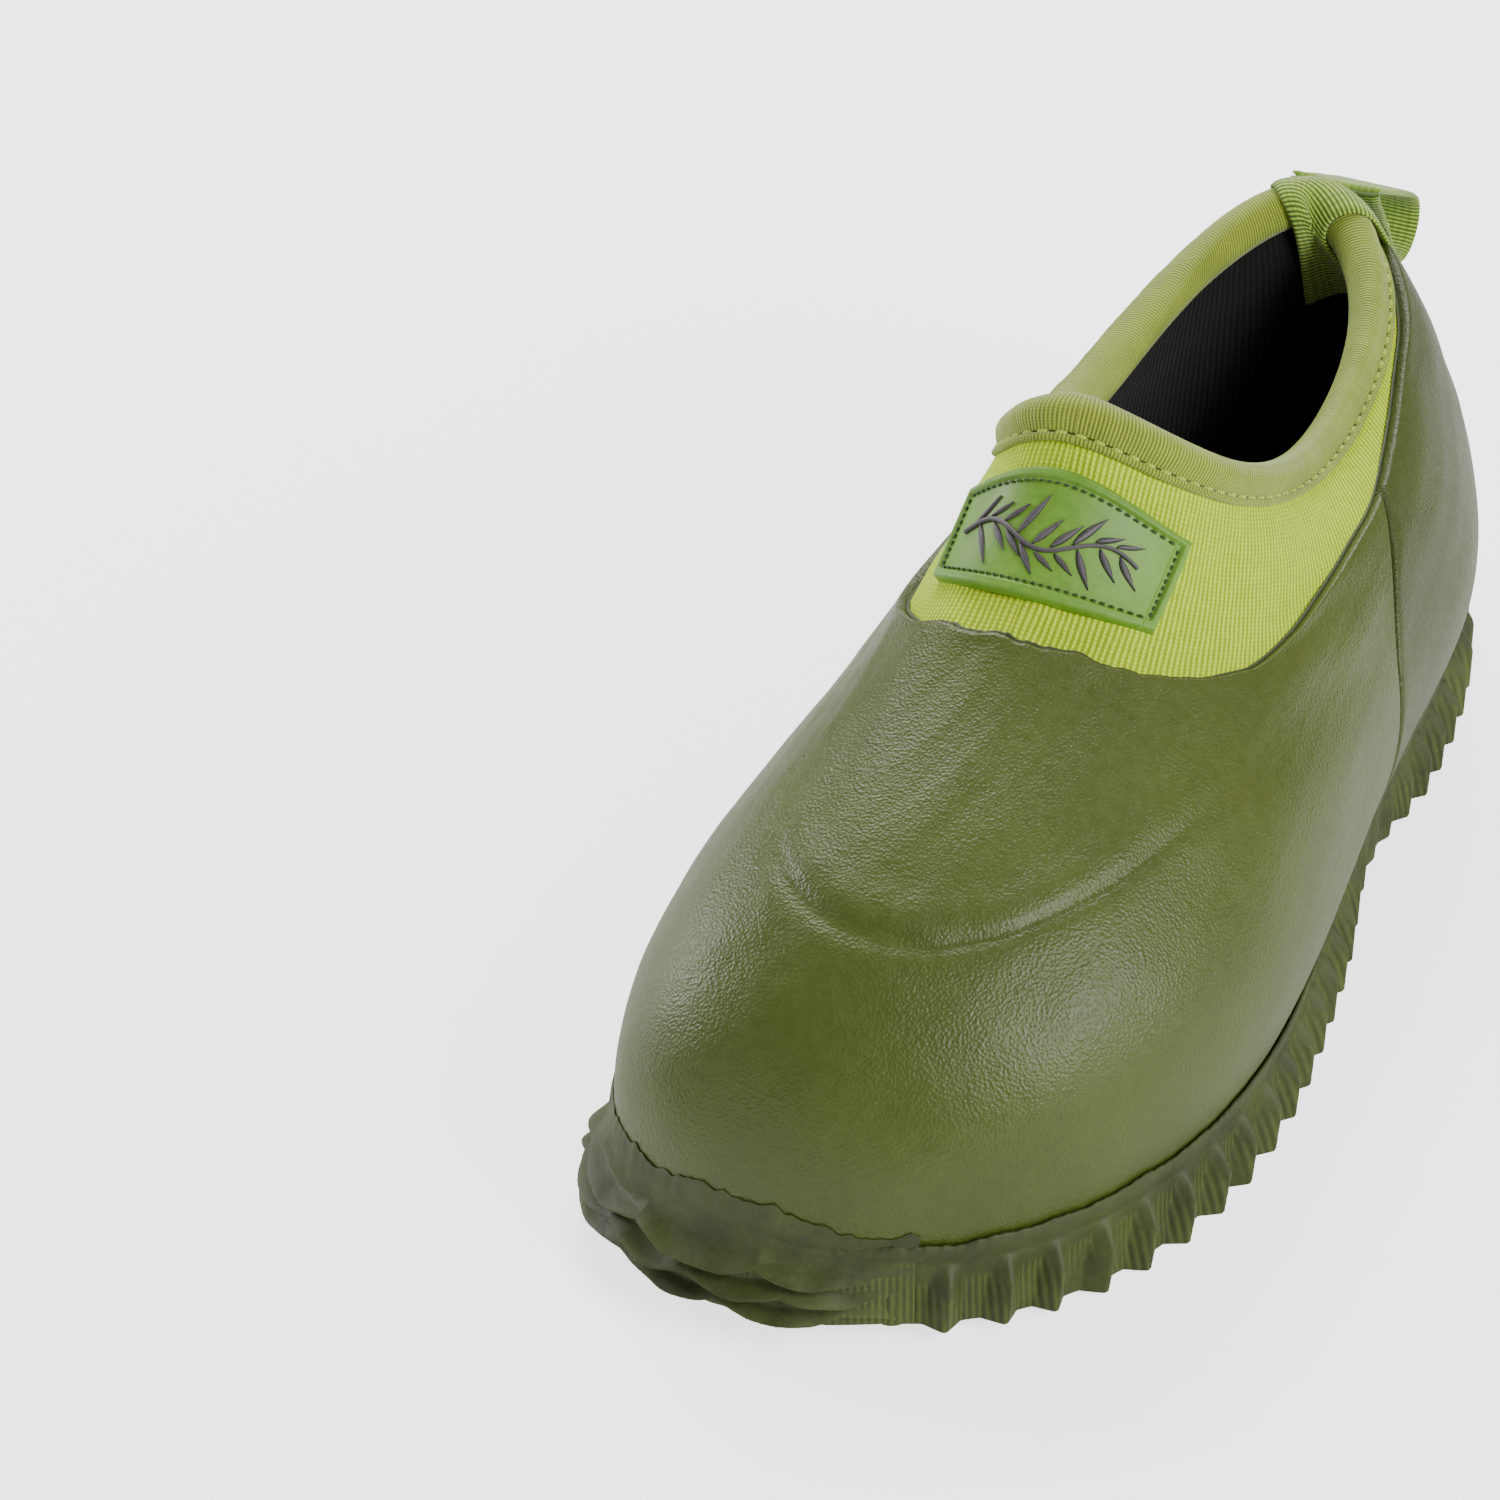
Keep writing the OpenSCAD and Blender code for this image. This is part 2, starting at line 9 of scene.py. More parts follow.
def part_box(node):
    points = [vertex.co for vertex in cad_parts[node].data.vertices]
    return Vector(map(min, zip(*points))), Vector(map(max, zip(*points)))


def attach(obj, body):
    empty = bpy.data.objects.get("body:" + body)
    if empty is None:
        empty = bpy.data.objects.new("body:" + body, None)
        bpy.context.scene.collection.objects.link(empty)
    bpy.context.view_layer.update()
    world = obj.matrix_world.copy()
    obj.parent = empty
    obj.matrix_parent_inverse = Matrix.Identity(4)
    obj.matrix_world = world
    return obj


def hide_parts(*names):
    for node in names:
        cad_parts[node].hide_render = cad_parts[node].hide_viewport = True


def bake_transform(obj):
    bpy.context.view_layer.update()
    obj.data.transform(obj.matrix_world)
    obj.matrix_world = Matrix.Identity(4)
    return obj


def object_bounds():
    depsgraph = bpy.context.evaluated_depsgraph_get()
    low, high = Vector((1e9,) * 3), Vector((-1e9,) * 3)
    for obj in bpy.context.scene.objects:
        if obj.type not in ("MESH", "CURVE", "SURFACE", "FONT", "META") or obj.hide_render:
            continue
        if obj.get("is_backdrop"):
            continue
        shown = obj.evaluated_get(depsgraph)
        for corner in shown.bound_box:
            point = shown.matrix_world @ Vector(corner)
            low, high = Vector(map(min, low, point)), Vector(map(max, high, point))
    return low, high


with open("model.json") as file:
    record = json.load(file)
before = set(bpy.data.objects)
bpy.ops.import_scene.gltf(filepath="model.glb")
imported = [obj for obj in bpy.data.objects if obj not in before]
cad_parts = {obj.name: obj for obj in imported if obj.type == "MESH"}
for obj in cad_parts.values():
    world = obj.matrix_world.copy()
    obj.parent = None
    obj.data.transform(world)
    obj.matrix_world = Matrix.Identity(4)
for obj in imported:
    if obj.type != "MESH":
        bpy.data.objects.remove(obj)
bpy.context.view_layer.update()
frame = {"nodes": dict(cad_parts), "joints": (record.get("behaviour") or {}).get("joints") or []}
MM = 0.001

# ---------------------------------------------------------------- the upper's surface

# Control rings of the neoprene's outer face, from the sole seam up to the collar edge, in mm.
# Each has 12 points, from the toe round the outer side to the heel and back.
RING_X = [[-10, 24, 46, 52, 35, 37, 4, -29, -24, -45, -49, -40],
          [-8, 32, 57, 61, 48, 44, 3, -37, -33, -50, -53, -42],
          [-5, 22, 42, 47, 43, 39, 2, -34, -31, -38, -36, -29],
          [-4, 8, 24, 36, 39, 32, 0, -31, -33, -32, -24, -15],
          [-4, 8, 20, 28, 30, 24, -2, -29, -33, -32, -26, -16],
          [-6, 6, 15, 19, 18, 14, -7, -29, -32, -29, -23, -15]]
RING_Y = [[-140, -127, -92, -46, 25, 97, 149, 97, 23, -54, -98, -131],
          [-146, -131, -91, -45, 26, 99, 153, 99, 23, -56, -100, -136],
          [-122, -106, -76, -36, 32, 96, 149, 96, 28, -46, -85, -113],
          [-75, -64, -46, -20, 40, 92, 139, 92, 38, -26, -53, -67],
          [-33, -28, -18, 4, 47, 94, 127, 95, 45, 1, -20, -30],
          [-12, -8, 1, 17, 50, 95, 122, 99, 51, 15, -4, -12]]
RING_Z = [[17, 16, 14, 14, 14, 15, 16, 15, 14, 14, 14, 16],
          [38, 38, 40, 40, 36, 34, 37, 34, 38, 42, 39, 38],
          [66, 65, 65, 63, 56, 54, 57, 53, 57, 65, 66, 66],
          [75, 77, 77, 75, 67, 71, 76, 70, 70, 77, 79, 78],
          [92, 91, 88, 82, 74, 85, 92, 87, 77, 85, 91, 92],
          [118, 112, 103, 92, 79, 89, 103, 92, 80, 90, 104, 115]]
CONTROL = np.stack([RING_X, RING_Y, RING_Z], -1) * MM
KNOTS = [0, 0, 0, 0, 1 / 3, 2 / 3, 1, 1, 1, 1]


def round_weights(u):
    """Weights of the 12 points round a ring at place u, and their slopes."""
    u = np.mod(u, 12.0)
    i = np.floor(u).astype(int)
    t = u - i
    w = [(1 - t) ** 3, 3 * t**3 - 6 * t**2 + 4, -3 * t**3 + 3 * t**2 + 3 * t + 1, t**3]
    d = [-((1 - t) ** 2), 3 * t**2 - 4 * t, -3 * t**2 + 2 * t + 1, t**2]
    weight, slope = np.zeros((len(u), 12)), np.zeros((len(u), 12))
    rows = np.arange(len(u))
    for k in range(4):
        weight[rows, (i + k - 1) % 12] += w[k] / 6
        slope[rows, (i + k - 1) % 12] += d[k] / 2
    return weight, slope


def rise(i, p, v):
    """Clamped B-spline basis of order p over the six rings."""
    if p == 0:
        inside = (v >= KNOTS[i]) & (v < KNOTS[i + 1])
        return (inside | ((v >= 1) & (i == 5))).astype(float)
    out = np.zeros(len(v))
    if KNOTS[i + p] > KNOTS[i]:
        out += (v - KNOTS[i]) / (KNOTS[i + p] - KNOTS[i]) * rise(i, p - 1, v)
    if KNOTS[i + p + 1] > KNOTS[i + 1]:
        share = (KNOTS[i + p + 1] - v) / (KNOTS[i + p + 1] - KNOTS[i + 1])
        out += share * rise(i + 1, p - 1, v)
    return out


RISE_STEPS = 2000
RISE_TABLE = np.stack([rise(i, 3, np.linspace(0, 1, RISE_STEPS + 1)) for i in range(6)], -1)


def rise_weights(v):
    x = np.clip(v, 0, 1) * RISE_STEPS
    i = np.minimum(x.astype(int), RISE_STEPS - 1)
    t = (x - i)[:, None]
    return RISE_TABLE[i] * (1 - t) + RISE_TABLE[i + 1] * t


def unit(a):
    return a / np.maximum(np.linalg.norm(a, axis=-1, keepdims=True), 1e-12)


def surface(u, v):
    """Point, outward direction, and the two tangents of the upper at places u round and v up."""
    u, v = np.broadcast_arrays(np.asarray(u, float), np.asarray(v, float))
    shape = u.shape
    u, v = u.ravel(), v.ravel()
    wu, du = round_weights(u)
    a, b = np.maximum(v - 0.003, 0), np.minimum(v + 0.003, 1)
    wv = rise_weights(v)
    dv = (rise_weights(b) - rise_weights(a)) / (b - a)[:, None]
    columns = np.einsum("nk,rkc->nrc", wu, CONTROL)
    slopes = np.einsum("nk,rkc->nrc", du, CONTROL)
    p = np.einsum("nr,nrc->nc", wv, columns)
    tu = np.einsum("nr,nrc->nc", wv, slopes)
    tv = np.einsum("nr,nrc->nc", dv, columns)
    n = unit(np.cross(tu, tv))
    n[:, 2] *= np.minimum(1, v * 8)
    n = unit(n)
    return [q.reshape(shape + (3,)) for q in (p, n, tu, tv)]


def at(u, v, d):
    """Points d (mm) outside the neoprene's outer face."""
    p, n, _, _ = surface(u, v)
    return p + n * (np.broadcast_to(d, p.shape[:-1])[..., None] * MM)


# the rings are moved so that they lie where the CAD neoprene lies
grid_u = (np.arange(72) + 0.5) / 6
raw = at(grid_u[:, None], np.linspace(0, 1, 40)[None, :], 0)
low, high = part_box("neoprene_upper")
SHIFT = np.array([(low[i] + high[i]) / 2 - (raw[..., i].min() + raw[..., i].max()) / 2
                  for i in range(2)] + [0.0])
CONTROL = CONTROL + SHIFT


def smooth(t):
    t = np.clip(t, 0, 1)
    return t * t * (3 - 2 * t)


def noise(x, y, seed=0.0):
    """Gentle repeatable waviness from -1 to 1, about one unit across."""
    return (np.sin(1.7 * x + 2.3 * y + seed) + np.sin(-2.9 * x + 1.3 * y + 1.7 * seed + 1)
            + np.sin(4.1 * x + 3.7 * y + 2.3 * seed + 2) * 0.6
            + np.sin(5.3 * x - 6.1 * y + 0.7 * seed + 4) * 0.4) / 3


def from_toe(u):
    """Place round the ring from -6 to 6, with the toe at 0 and the outer side positive."""
    u = np.mod(u, 12.0)
    return np.where(u > 6, u - 12, u)


def side_of(u):
    """Place round the ring counted from the toe, 0 to 6, on either side."""
    u = np.mod(u, 12.0)
    return np.minimum(u, 12 - u)


EDGE_U = [0, 1, 1.4, 2, 2.75, 3.1, 3.4, 3.7, 4, 4.2, 4.4, 4.7, 5.4, 6]
EDGE_V = [0.805, 0.785, 0.76, 0.725, 0.675, 0.69, 0.735, 0.775, 0.8, 0.835, 0.865, 0.893,
          0.9, 0.892]
edge_fine_u = np.linspace(-6, 6, 961)
kernel = np.hanning(25) / np.hanning(25).sum()
edge_fine_v = np.convolve(np.pad(np.interp(np.abs(edge_fine_u), EDGE_U, EDGE_V), 12, "wrap"),
                          kernel, "valid")


def rubber_edge(u):
    """Top edge of the rubber, with the slight unevenness of a hand cut."""
    w = from_toe(u)
    return np.interp(w, edge_fine_u, edge_fine_v) + 0.002 * noise(w * 4, 0, 3) \
        + 0.0005 * noise(w * 15, 0, 5)


def seam_place(v):
    """Place of the side seams round the ring at height share v."""
    return 3.83 + 0.32 * np.clip(v, 0, 1) ** 2


# ---------------------------------------------------------------- mesh building

def make_mesh(name, points, faces, uv=None):
    """A mesh object from an array of points and arrays of faces. uv is one pair a point, in m."""
    mesh = bpy.data.meshes.new(name)
    points = np.asarray(points, np.float32).reshape(-1, 3)
    blocks = [np.asarray(f, np.int32) for f in (faces if isinstance(faces, list) else [faces])]
    corners = np.concatenate([b.ravel() for b in blocks])
    sizes = np.concatenate([np.full(len(b), b.shape[1]) for b in blocks])
    mesh.vertices.add(len(points))
    mesh.vertices.foreach_set("co", points.ravel())
    mesh.loops.add(len(corners))
    mesh.loops.foreach_set("vertex_index", corners)
    mesh.polygons.add(len(sizes))
    mesh.polygons.foreach_set("loop_start", np.concatenate([[0], np.cumsum(sizes)[:-1]]))
    mesh.update(calc_edges=True)
    if uv is not None:
        layer = mesh.uv_layers.new(name="cloth")
        layer.data.foreach_set("uv", np.asarray(uv, np.float32).reshape(-1, 2)[corners].ravel())
    mesh.polygons.foreach_set("use_smooth", np.full(len(sizes), True))
    mesh.validate()
    piece = bpy.data.objects.new(name, mesh)
    bpy.context.scene.collection.objects.link(piece)
    return piece


def grid_faces(n, m, wrap_n=False, wrap_m=False, first=0):
    """Quads over n rows of m points."""
    i, j = np.meshgrid(np.arange(n if wrap_n else n - 1), np.arange(m if wrap_m else m - 1),
                       indexing="ij")
    i, j = i.ravel(), j.ravel()
    i2, j2 = (i + 1) % n, (j + 1) % m
    return first + np.stack([i * m + j, i2 * m + j, i2 * m + j2, i * m + j2], -1)


def end_faces(m, row, flip, first=0):
    """Closes a loop of m points with strips between its two halves."""
    k = np.arange(m // 2 - 1)
    f = row * m + first + np.stack([k, k + 1, m - 2 - k, m - 1 - k], -1)
    return f[:, ::-1] if flip else f


def loft(name, loops, uv=None, meets=False, ends=True):
    """A solid through n loops of m points."""
    n, m = loops.shape[:2]
    faces = [grid_faces(n, m, meets, True)]
    if ends and not meets:
        faces += [end_faces(m, 0, False), end_faces(m, n - 1, True)]
    return make_mesh(name, loops, faces, uv)


def shell(name, u, v, d_out, d_in, meets=False, uv=None):
    """A closed skin between two offsets of the upper, over a grid of places."""
    outer, inner = at(u, v, d_out), at(u, v, d_in)
    loops = np.concatenate([outer, inner[:, ::-1]], 1)
    if uv is None:
        uv = np.stack([u * 0.045, v * 0.12], -1)
    return loft(name, loops, np.concatenate([uv, uv[:, ::-1]], 1), meets)


def spaced(n, ends=(0.0008, 0.002, 0.004, 0.007)):
    """Even steps from 0 to 1 with finer ones close to both ends."""
    e = np.array(ends)
    return np.concatenate([[0], e, np.linspace(0.012, 0.988, n), 1 - e[::-1], [1]])


def rounding(distance, radius):
    """Share of full thickness at a distance (m) from a rounded rim."""
    t = 1 - np.clip(distance / radius, 0, 1)
    return np.sqrt(np.clip(1 - t * t, 0.02, 1))


def length_of(vectors):
    return np.linalg.norm(vectors, axis=-1)


def run_of(points):
    """Distance of each point along the line they make."""
    return np.concatenate([[0], np.cumsum(length_of(np.diff(points, axis=0)))])


# ---------------------------------------------------------------- materials

def material(name, roughness=0.5, sheen=0.0, specular=0.5):
    mat = bpy.data.materials.new(name)
    mat.use_nodes = True
    shader = mat.node_tree.nodes["Principled BSDF"]
    shader.inputs["Roughness"].default_value = roughness
    shader.inputs["Specular IOR Level"].default_value = specular
    if sheen:
        shader.inputs["Sheen Weight"].default_value = sheen
        shader.inputs["Sheen Roughness"].default_value = 0.5
    return mat, shader


def node(mat, kind, links=None, **values):
    """Adds a node; values set its properties or inputs, and links feed its inputs."""
    made = mat.node_tree.nodes.new(kind)
    for key, value in values.items():
        if hasattr(made, key):
            setattr(made, key, value)
        else:
            made.inputs[key.replace("_", " ")].default_value = value
    for key, source in (links or {}).items():
        target = made.inputs[key if isinstance(key, int) else key]
        mat.node_tree.links.new(source, target)
    return made


def math_node(mat, operation, a, b=None, c=None):
    made = mat.node_tree.nodes.new("ShaderNodeMath")
    made.operation = operation
    for i, x in enumerate((a, b, c)):
        if x is None:
            continue
        if isinstance(x, (int, float)):
            made.inputs[i].default_value = x
        else:
            mat.node_tree.links.new(x, made.inputs[i])
    return made.outputs[0]


def weighted(mat, *terms):
    """Sum of sources, each with its weight."""
    total = None
    for source, weight in terms:
        scaled = math_node(mat, "MULTIPLY", source, weight)
        total = scaled if total is None else math_node(mat, "ADD", total, scaled)
    return total


def linear(r, g, b):
    """Linear colour from 8-bit sRGB values."""
    def one(c):
        c /= 255
        return c / 12.92 if c <= 0.04045 else ((c + 0.055) / 1.055) ** 2.4
    return (one(r), one(g), one(b), 1)


def ramp(mat, source, stops):
    made = mat.node_tree.nodes.new("ShaderNodeValToRGB")
    elements = made.color_ramp.elements
    while len(elements) < len(stops):
        elements.new(0.5)
    for element, (place, colour) in zip(elements, stops):
        element.position = place
        element.color = colour
    mat.node_tree.links.new(source, made.inputs[0])
    return made.outputs[0]


def bump(mat, height, strength, distance, before=None):
    links = {"Height": height}
    if before is not None:
        links["Normal"] = before
    return node(mat, "ShaderNodeBump", links, Strength=strength,
                Distance=distance).outputs["Normal"]


def connect(mat, source, shader, name):
    mat.node_tree.links.new(source, shader.inputs[name])


def place_of(mat):
    return node(mat, "ShaderNodeTexCoord").outputs["Object"]


def noise_of(mat, vector, scale, detail=2.0, roughness=0.5):
    return node(mat, "ShaderNodeTexNoise", {"Vector": vector}, Scale=scale, Detail=detail,
                Roughness=roughness).outputs["Fac"]


def leather_rubber(name, dark, light, rough=0.38, grain=0.6, cell=1700.0):
    """Semi-gloss rubber with a fine pebble grain."""
    mat, shader = material(name, rough, 0, 0.4)
    place = place_of(mat)
    cells = node(mat, "ShaderNodeTexVoronoi", {"Vector": place}, Scale=cell,
                 feature="SMOOTH_F1", Smoothness=0.3).outputs["Distance"]
    pores = noise_of(mat, place, 2600, 3, 0.6)
    patches = noise_of(mat, place, 38, 3, 0.55)
    mottle = noise_of(mat, place, 420, 2, 0.6)
    tone = weighted(mat, (patches, 0.6), (mottle, 0.4))
    connect(mat, ramp(mat, tone, [(0.3, dark), (0.7, light)]), shader, "Base Color")
    gloss = math_node(mat, "MULTIPLY_ADD", mottle, 0.22, rough - 0.11)
    connect(mat, gloss, shader, "Roughness")
    height = weighted(mat, (cells, 1.0), (pores, 0.5))
    soft = bump(mat, noise_of(mat, place, 60, 1, 0.4), 0.06, 0.001)
    connect(mat, bump(mat, height, grain, 0.0002, soft), shader, "Normal")
    return mat


def split_uv(mat):
    uv = node(mat, "ShaderNodeUVMap", uv_map="cloth").outputs["UV"]
    parts = node(mat, "ShaderNodeSeparateXYZ", {0: uv})
    return parts.outputs[0], parts.outputs[1]


def wave(mat, coordinate, pitch, phase=0.0):
    """A smooth stripe from 0 to 1, once each pitch (m)."""
    angle = math_node(mat, "MULTIPLY_ADD", coordinate, 2 * math.pi / pitch, phase)
    return math_node(mat, "MULTIPLY_ADD", math_node(mat, "SINE", angle), 0.5, 0.5)


def knit(name, dark, light, wale, course, depth, rough=0.92, sheen=0.1, slant=0.35):
    """Ribbed knit: wales along v, with slanted stitches between them."""
    mat, shader = material(name, rough, sheen, 0.3)
    x, y = split_uv(mat)
    place = place_of(mat)
    wobble = math_node(mat, "MULTIPLY_ADD", noise_of(mat, place, 160, 2), wale * 0.5, 0.0)
    x = math_node(mat, "ADD", x, wobble)
    ribs = wave(mat, x, wale)
    leaning = math_node(mat, "MULTIPLY_ADD", ribs, course * slant, y)
    loops = wave(mat, leaning, course)
    weave = math_node(mat, "MULTIPLY", ribs, math_node(mat, "MULTIPLY_ADD", loops, 0.5, 0.5))
    fuzz = noise_of(mat, place, 1500, 3, 0.65)
    heather = noise_of(mat, place, 420, 3, 0.6)
    tone = weighted(mat, (weave, 0.62), (fuzz, 0.28), (heather, 0.22))
    connect(mat, ramp(mat, tone, [(0.25, dark), (0.75, light)]), shader, "Base Color")
    height = math_node(mat, "MULTIPLY_ADD", fuzz, 0.35, weave)
    connect(mat, bump(mat, height, 0.8, depth), shader, "Normal")
    return mat


def ribbed(name, dark, light, pitch, depth, along=0, second=None, rough=0.85, sheen=0.3):
    """Cloth with ribs across it, once each pitch; along says which way the pitch runs."""
    mat, shader = material(name, rough, sheen, 0.3)
    parts = split_uv(mat)
    place = place_of(mat)
    ribs = wave(mat, parts[along], pitch)
    cross = wave(mat, parts[1 - along], second or pitch * 0.9)
    weave = math_node(mat, "MULTIPLY", ribs, math_node(mat, "MULTIPLY_ADD", cross, 0.35, 0.65))
    fuzz = noise_of(mat, place, 1800, 3, 0.6)
    patches = noise_of(mat, place, 120, 2, 0.5)
    tone = weighted(mat, (weave, 0.6), (fuzz, 0.25), (patches, 0.25))
    connect(mat, ramp(mat, tone, [(0.25, dark), (0.75, light)]), shader, "Base Color")
    connect(mat, bump(mat, math_node(mat, "MULTIPLY_ADD", fuzz, 0.3, weave), 0.75, depth),
            shader, "Normal")
    return mat


def sole_rubber(name, dark, light, plain_from):
    """Matte rubber with fine ribs down its sides, and plain above a height (m)."""
    mat, shader = material(name, 0.6)
    x, _ = split_uv(mat)
    place = place_of(mat)
    ribs = wave(mat, x, 0.0011)
    strength = noise_of(mat, place, 70, 2)
    ribs = math_node(mat, "MULTIPLY", ribs, smooth_step(mat, strength, 0.3, 0.5))
    facing = node(mat, "ShaderNodeSeparateXYZ", {0: node(mat, "ShaderNodeNewGeometry").outputs[
        "Normal"]}).outputs[2]
    steep = smooth_step(mat, facing, 0.45, 0.12)
    high = node(mat, "ShaderNodeSeparateXYZ", {0: place}).outputs[2]
    steep = math_node(mat, "MULTIPLY", steep,
                      smooth_step(mat, high, plain_from, plain_from - 0.002))
    ribs = math_node(mat, "MULTIPLY", ribs, steep)
    fine = noise_of(mat, place, 900, 4, 0.6)
    patches = noise_of(mat, place, 55, 3, 0.6)
    tone = weighted(mat, (patches, 0.6), (ribs, 0.22), (fine, 0.25))
    connect(mat, ramp(mat, tone, [(0.3, dark), (0.75, light)]), shader, "Base Color")
    connect(mat, math_node(mat, "MULTIPLY_ADD", fine, 0.25, 0.48), shader, "Roughness")
    height = math_node(mat, "MULTIPLY_ADD", fine, 0.5, ribs)
    connect(mat, bump(mat, height, 0.6, 0.0003), shader, "Normal")
    return mat


def smooth_step(mat, value, low, high):
    made = node(mat, "ShaderNodeMapRange", {"Value": value}, interpolation_type="SMOOTHSTEP")
    made.inputs["From Min"].default_value = low
    made.inputs["From Max"].default_value = high
    return made.outputs["Result"]


def satin(name, dark, light, rough=0.5, scale=600.0, depth=0.00008):
    """Moulded rubber or foam with a fine satin skin."""
    mat, shader = material(name, rough)
    place = place_of(mat)
    fine = noise_of(mat, place, scale, 3, 0.6)
    patches = noise_of(mat, place, 60, 2, 0.5)
    tone = weighted(mat, (fine, 0.5), (patches, 0.5))
    connect(mat, ramp(mat, tone, [(0.3, dark), (0.7, light)]), shader, "Base Color")
    connect(mat, math_node(mat, "MULTIPLY_ADD", fine, 0.2, rough - 0.1), shader, "Roughness")
    connect(mat, bump(mat, fine, 0.5, depth), shader, "Normal")
    return mat


VAMP = leather_rubber("vamp_rubber", linear(70, 80, 25), linear(81, 92, 32))
HEEL = leather_rubber("heel_rubber", linear(60, 69, 22), linear(72, 82, 30), 0.45)
GLUE = satin("glue_line", linear(50, 60, 26), linear(72, 82, 34), 0.55)
SOLE = sole_rubber("sole_rubber", linear(40, 49, 12), linear(84, 97, 34), 0.0125)
BUMPER = sole_rubber("bumper_rubber", linear(42, 51, 14), linear(88, 101, 38), 0.0175)
KNIT = knit("neoprene_knit", linear(140, 170, 6), linear(222, 246, 42), 0.00115, 0.0009, 0.0003)
# lining cloth: black knit, its colour made darker still as painted shade inside the shoe
LINING_AND_SHADE = knit("lining_knit_and_painted_shade", linear(2, 2, 2), linear(11, 11, 12), 0.0016, 0.0013, 0.0002, 0.95, 0.1)
BINDING = ribbed("binding_cloth", linear(96, 112, 20), linear(168, 184, 60), 0.0007, 0.00016)
WEBBING = ribbed("webbing_cloth", linear(66, 96, 18), linear(176, 210, 78), 0.0009, 0.0003,
                 1, 0.0016)
THREAD = ribbed("sewing_thread", linear(70, 84, 30), linear(120, 136, 56), 0.0006, 0.0001)
COLLAR_THREAD = ribbed("collar_thread", linear(140, 168, 34), linear(200, 222, 84), 0.0006, 0.0001)
BADGE_THREAD = ribbed("badge_thread", linear(34, 58, 14), linear(72, 100, 36), 0.0006, 0.0001)
BADGE = satin("badge_rubber", linear(90, 136, 30), linear(118, 164, 52), 0.48)
MOTIF = satin("motif_rubber", linear(64, 58, 62), linear(88, 82, 86), 0.45)
FOAM = satin("foam", linear(30, 30, 30), linear(46, 46, 46), 0.85, 1400.0, 0.0002)
BOARD = satin("fibre_board", linear(150, 128, 92), linear(178, 156, 116), 0.9, 500.0)
EVA = satin("eva_foam", linear(126, 126, 118), linear(150, 150, 142), 0.8, 1600.0, 0.0002)


def finish_piece(piece, mat, body, slot, *nodes):
    piece.data.materials.clear()
    piece.data.materials.append(mat)
    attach(piece, body)
    if nodes:
        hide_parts(*nodes)
    return piece


# ---------------------------------------------------------------- rubber shells

RUBBER_IN, RUBBER_OUT = 0.3, 2.3  # mm out of the neoprene
RIM_ROUND, RIM_FADE = 0.0009, 0.004  # m, at the rubber's cut edges
HEEL_GAP = 0.012  # gap at the side seams, in places round the ring


def crease(u, v, tv):
    """Flex crease across the vamp: a soft fold, deepest above the ball of the foot."""
    w = from_toe(u)
    line = np.interp(w, [-2.4, -0.9, 0.0, 0.6, 1.0, 1.6, 2.6],
                     [0.47, 0.425, 0.39, 0.375, 0.378, 0.405, 0.475])
    off = (v - line) * length_of(tv) / MM
    first = 0.8 * smooth((w + 1.35) / 0.9) * smooth((1.0 - w) / 0.55)
    second = smooth((w - 0.35) / 0.4) * smooth((2.7 - w) / 1.2)
    bend = np.maximum(first, second * 0.8)
    crisp = 2.2 - 0.7 * second
    return bend * (-0.75 * np.exp(-(off / crisp) ** 2) + 0.6 * np.exp(-((off - 5) / 4.5) ** 2)
                   + 0.3 * np.exp(-((off + 5) / 4) ** 2))


def vamp_relief(u, v):
    """Soft unevenness of the moulded vamp, in mm."""
    _, _, _, tv = surface(u, v)
    w = from_toe(u)
    soft = 0.35 * noise(w * 1.3, v * 5, 2) + 0.12 * noise(w * 3.7, v * 13, 7)
    fade = smooth(v / 0.15)
    side = np.exp(-((w - 3.1) / 0.5) ** 2) * np.sin(v * 24 + w * 2) * 0.5
    return (soft + side) * fade + crease(u, v, tv)


rows = np.concatenate([np.linspace(0, 0.985, 190), [0.99, 0.994, 0.997, 0.999, 1]])
across = spaced(560, (0.0004, 0.001, 0.0018, 0.003)) * 2 - 1
v0 = rows[None, :] * rubber_edge(across * 3.9)[:, None]
u_grid = across[:, None] * seam_place(v0)
v_grid = rows[None, :] * rubber_edge(u_grid)
_, _, tu, tv = surface(u_grid, v_grid)
rim = np.minimum((rubber_edge(u_grid) - v_grid) * length_of(tv),
                 (seam_place(v_grid) - np.abs(u_grid)) * length_of(tu))
thick = (RUBBER_OUT - RUBBER_IN) * rounding(rim, RIM_ROUND)
d_out = RUBBER_IN + thick + vamp_relief(u_grid, v_grid) * smooth(rim / RIM_FADE)
vamp = shell("vamp_shell_skin", u_grid, v_grid, d_out, RUBBER_IN * np.ones_like(d_out))
finish_piece(vamp, VAMP, "clog", "shell_rubber", "vamp_shell")

# heel shell: from one side seam round the back to the other
share = spaced(360, (0.0005, 0.0012, 0.002, 0.0035))
v0 = rows[None, :] * rubber_edge(3.9 + share * 4.2)[:, None]
start = seam_place(v0) + HEEL_GAP
u_grid = start + share[:, None] * (12 - 2 * start)
v_grid = rows[None, :] * rubber_edge(u_grid)
_, _, tu, tv = surface(u_grid, v_grid)
ends = np.minimum(u_grid - seam_place(v_grid) - HEEL_GAP,
                  12 - HEEL_GAP - seam_place(v_grid) - u_grid)
rim = np.minimum((rubber_edge(u_grid) - v_grid) * length_of(tv), ends * length_of(tu))
thick = 2.2 * rounding(rim, RIM_ROUND)
w = side_of(u_grid)
folds = 0.55 * np.exp(-((w - 4.7 + v_grid * 0.5) / 0.28) ** 2) * smooth(v_grid / 0.3) \
    - 0.6 * np.exp(-((w - 5.2 + v_grid * 0.4) / 0.22) ** 2) * smooth(v_grid / 0.3)
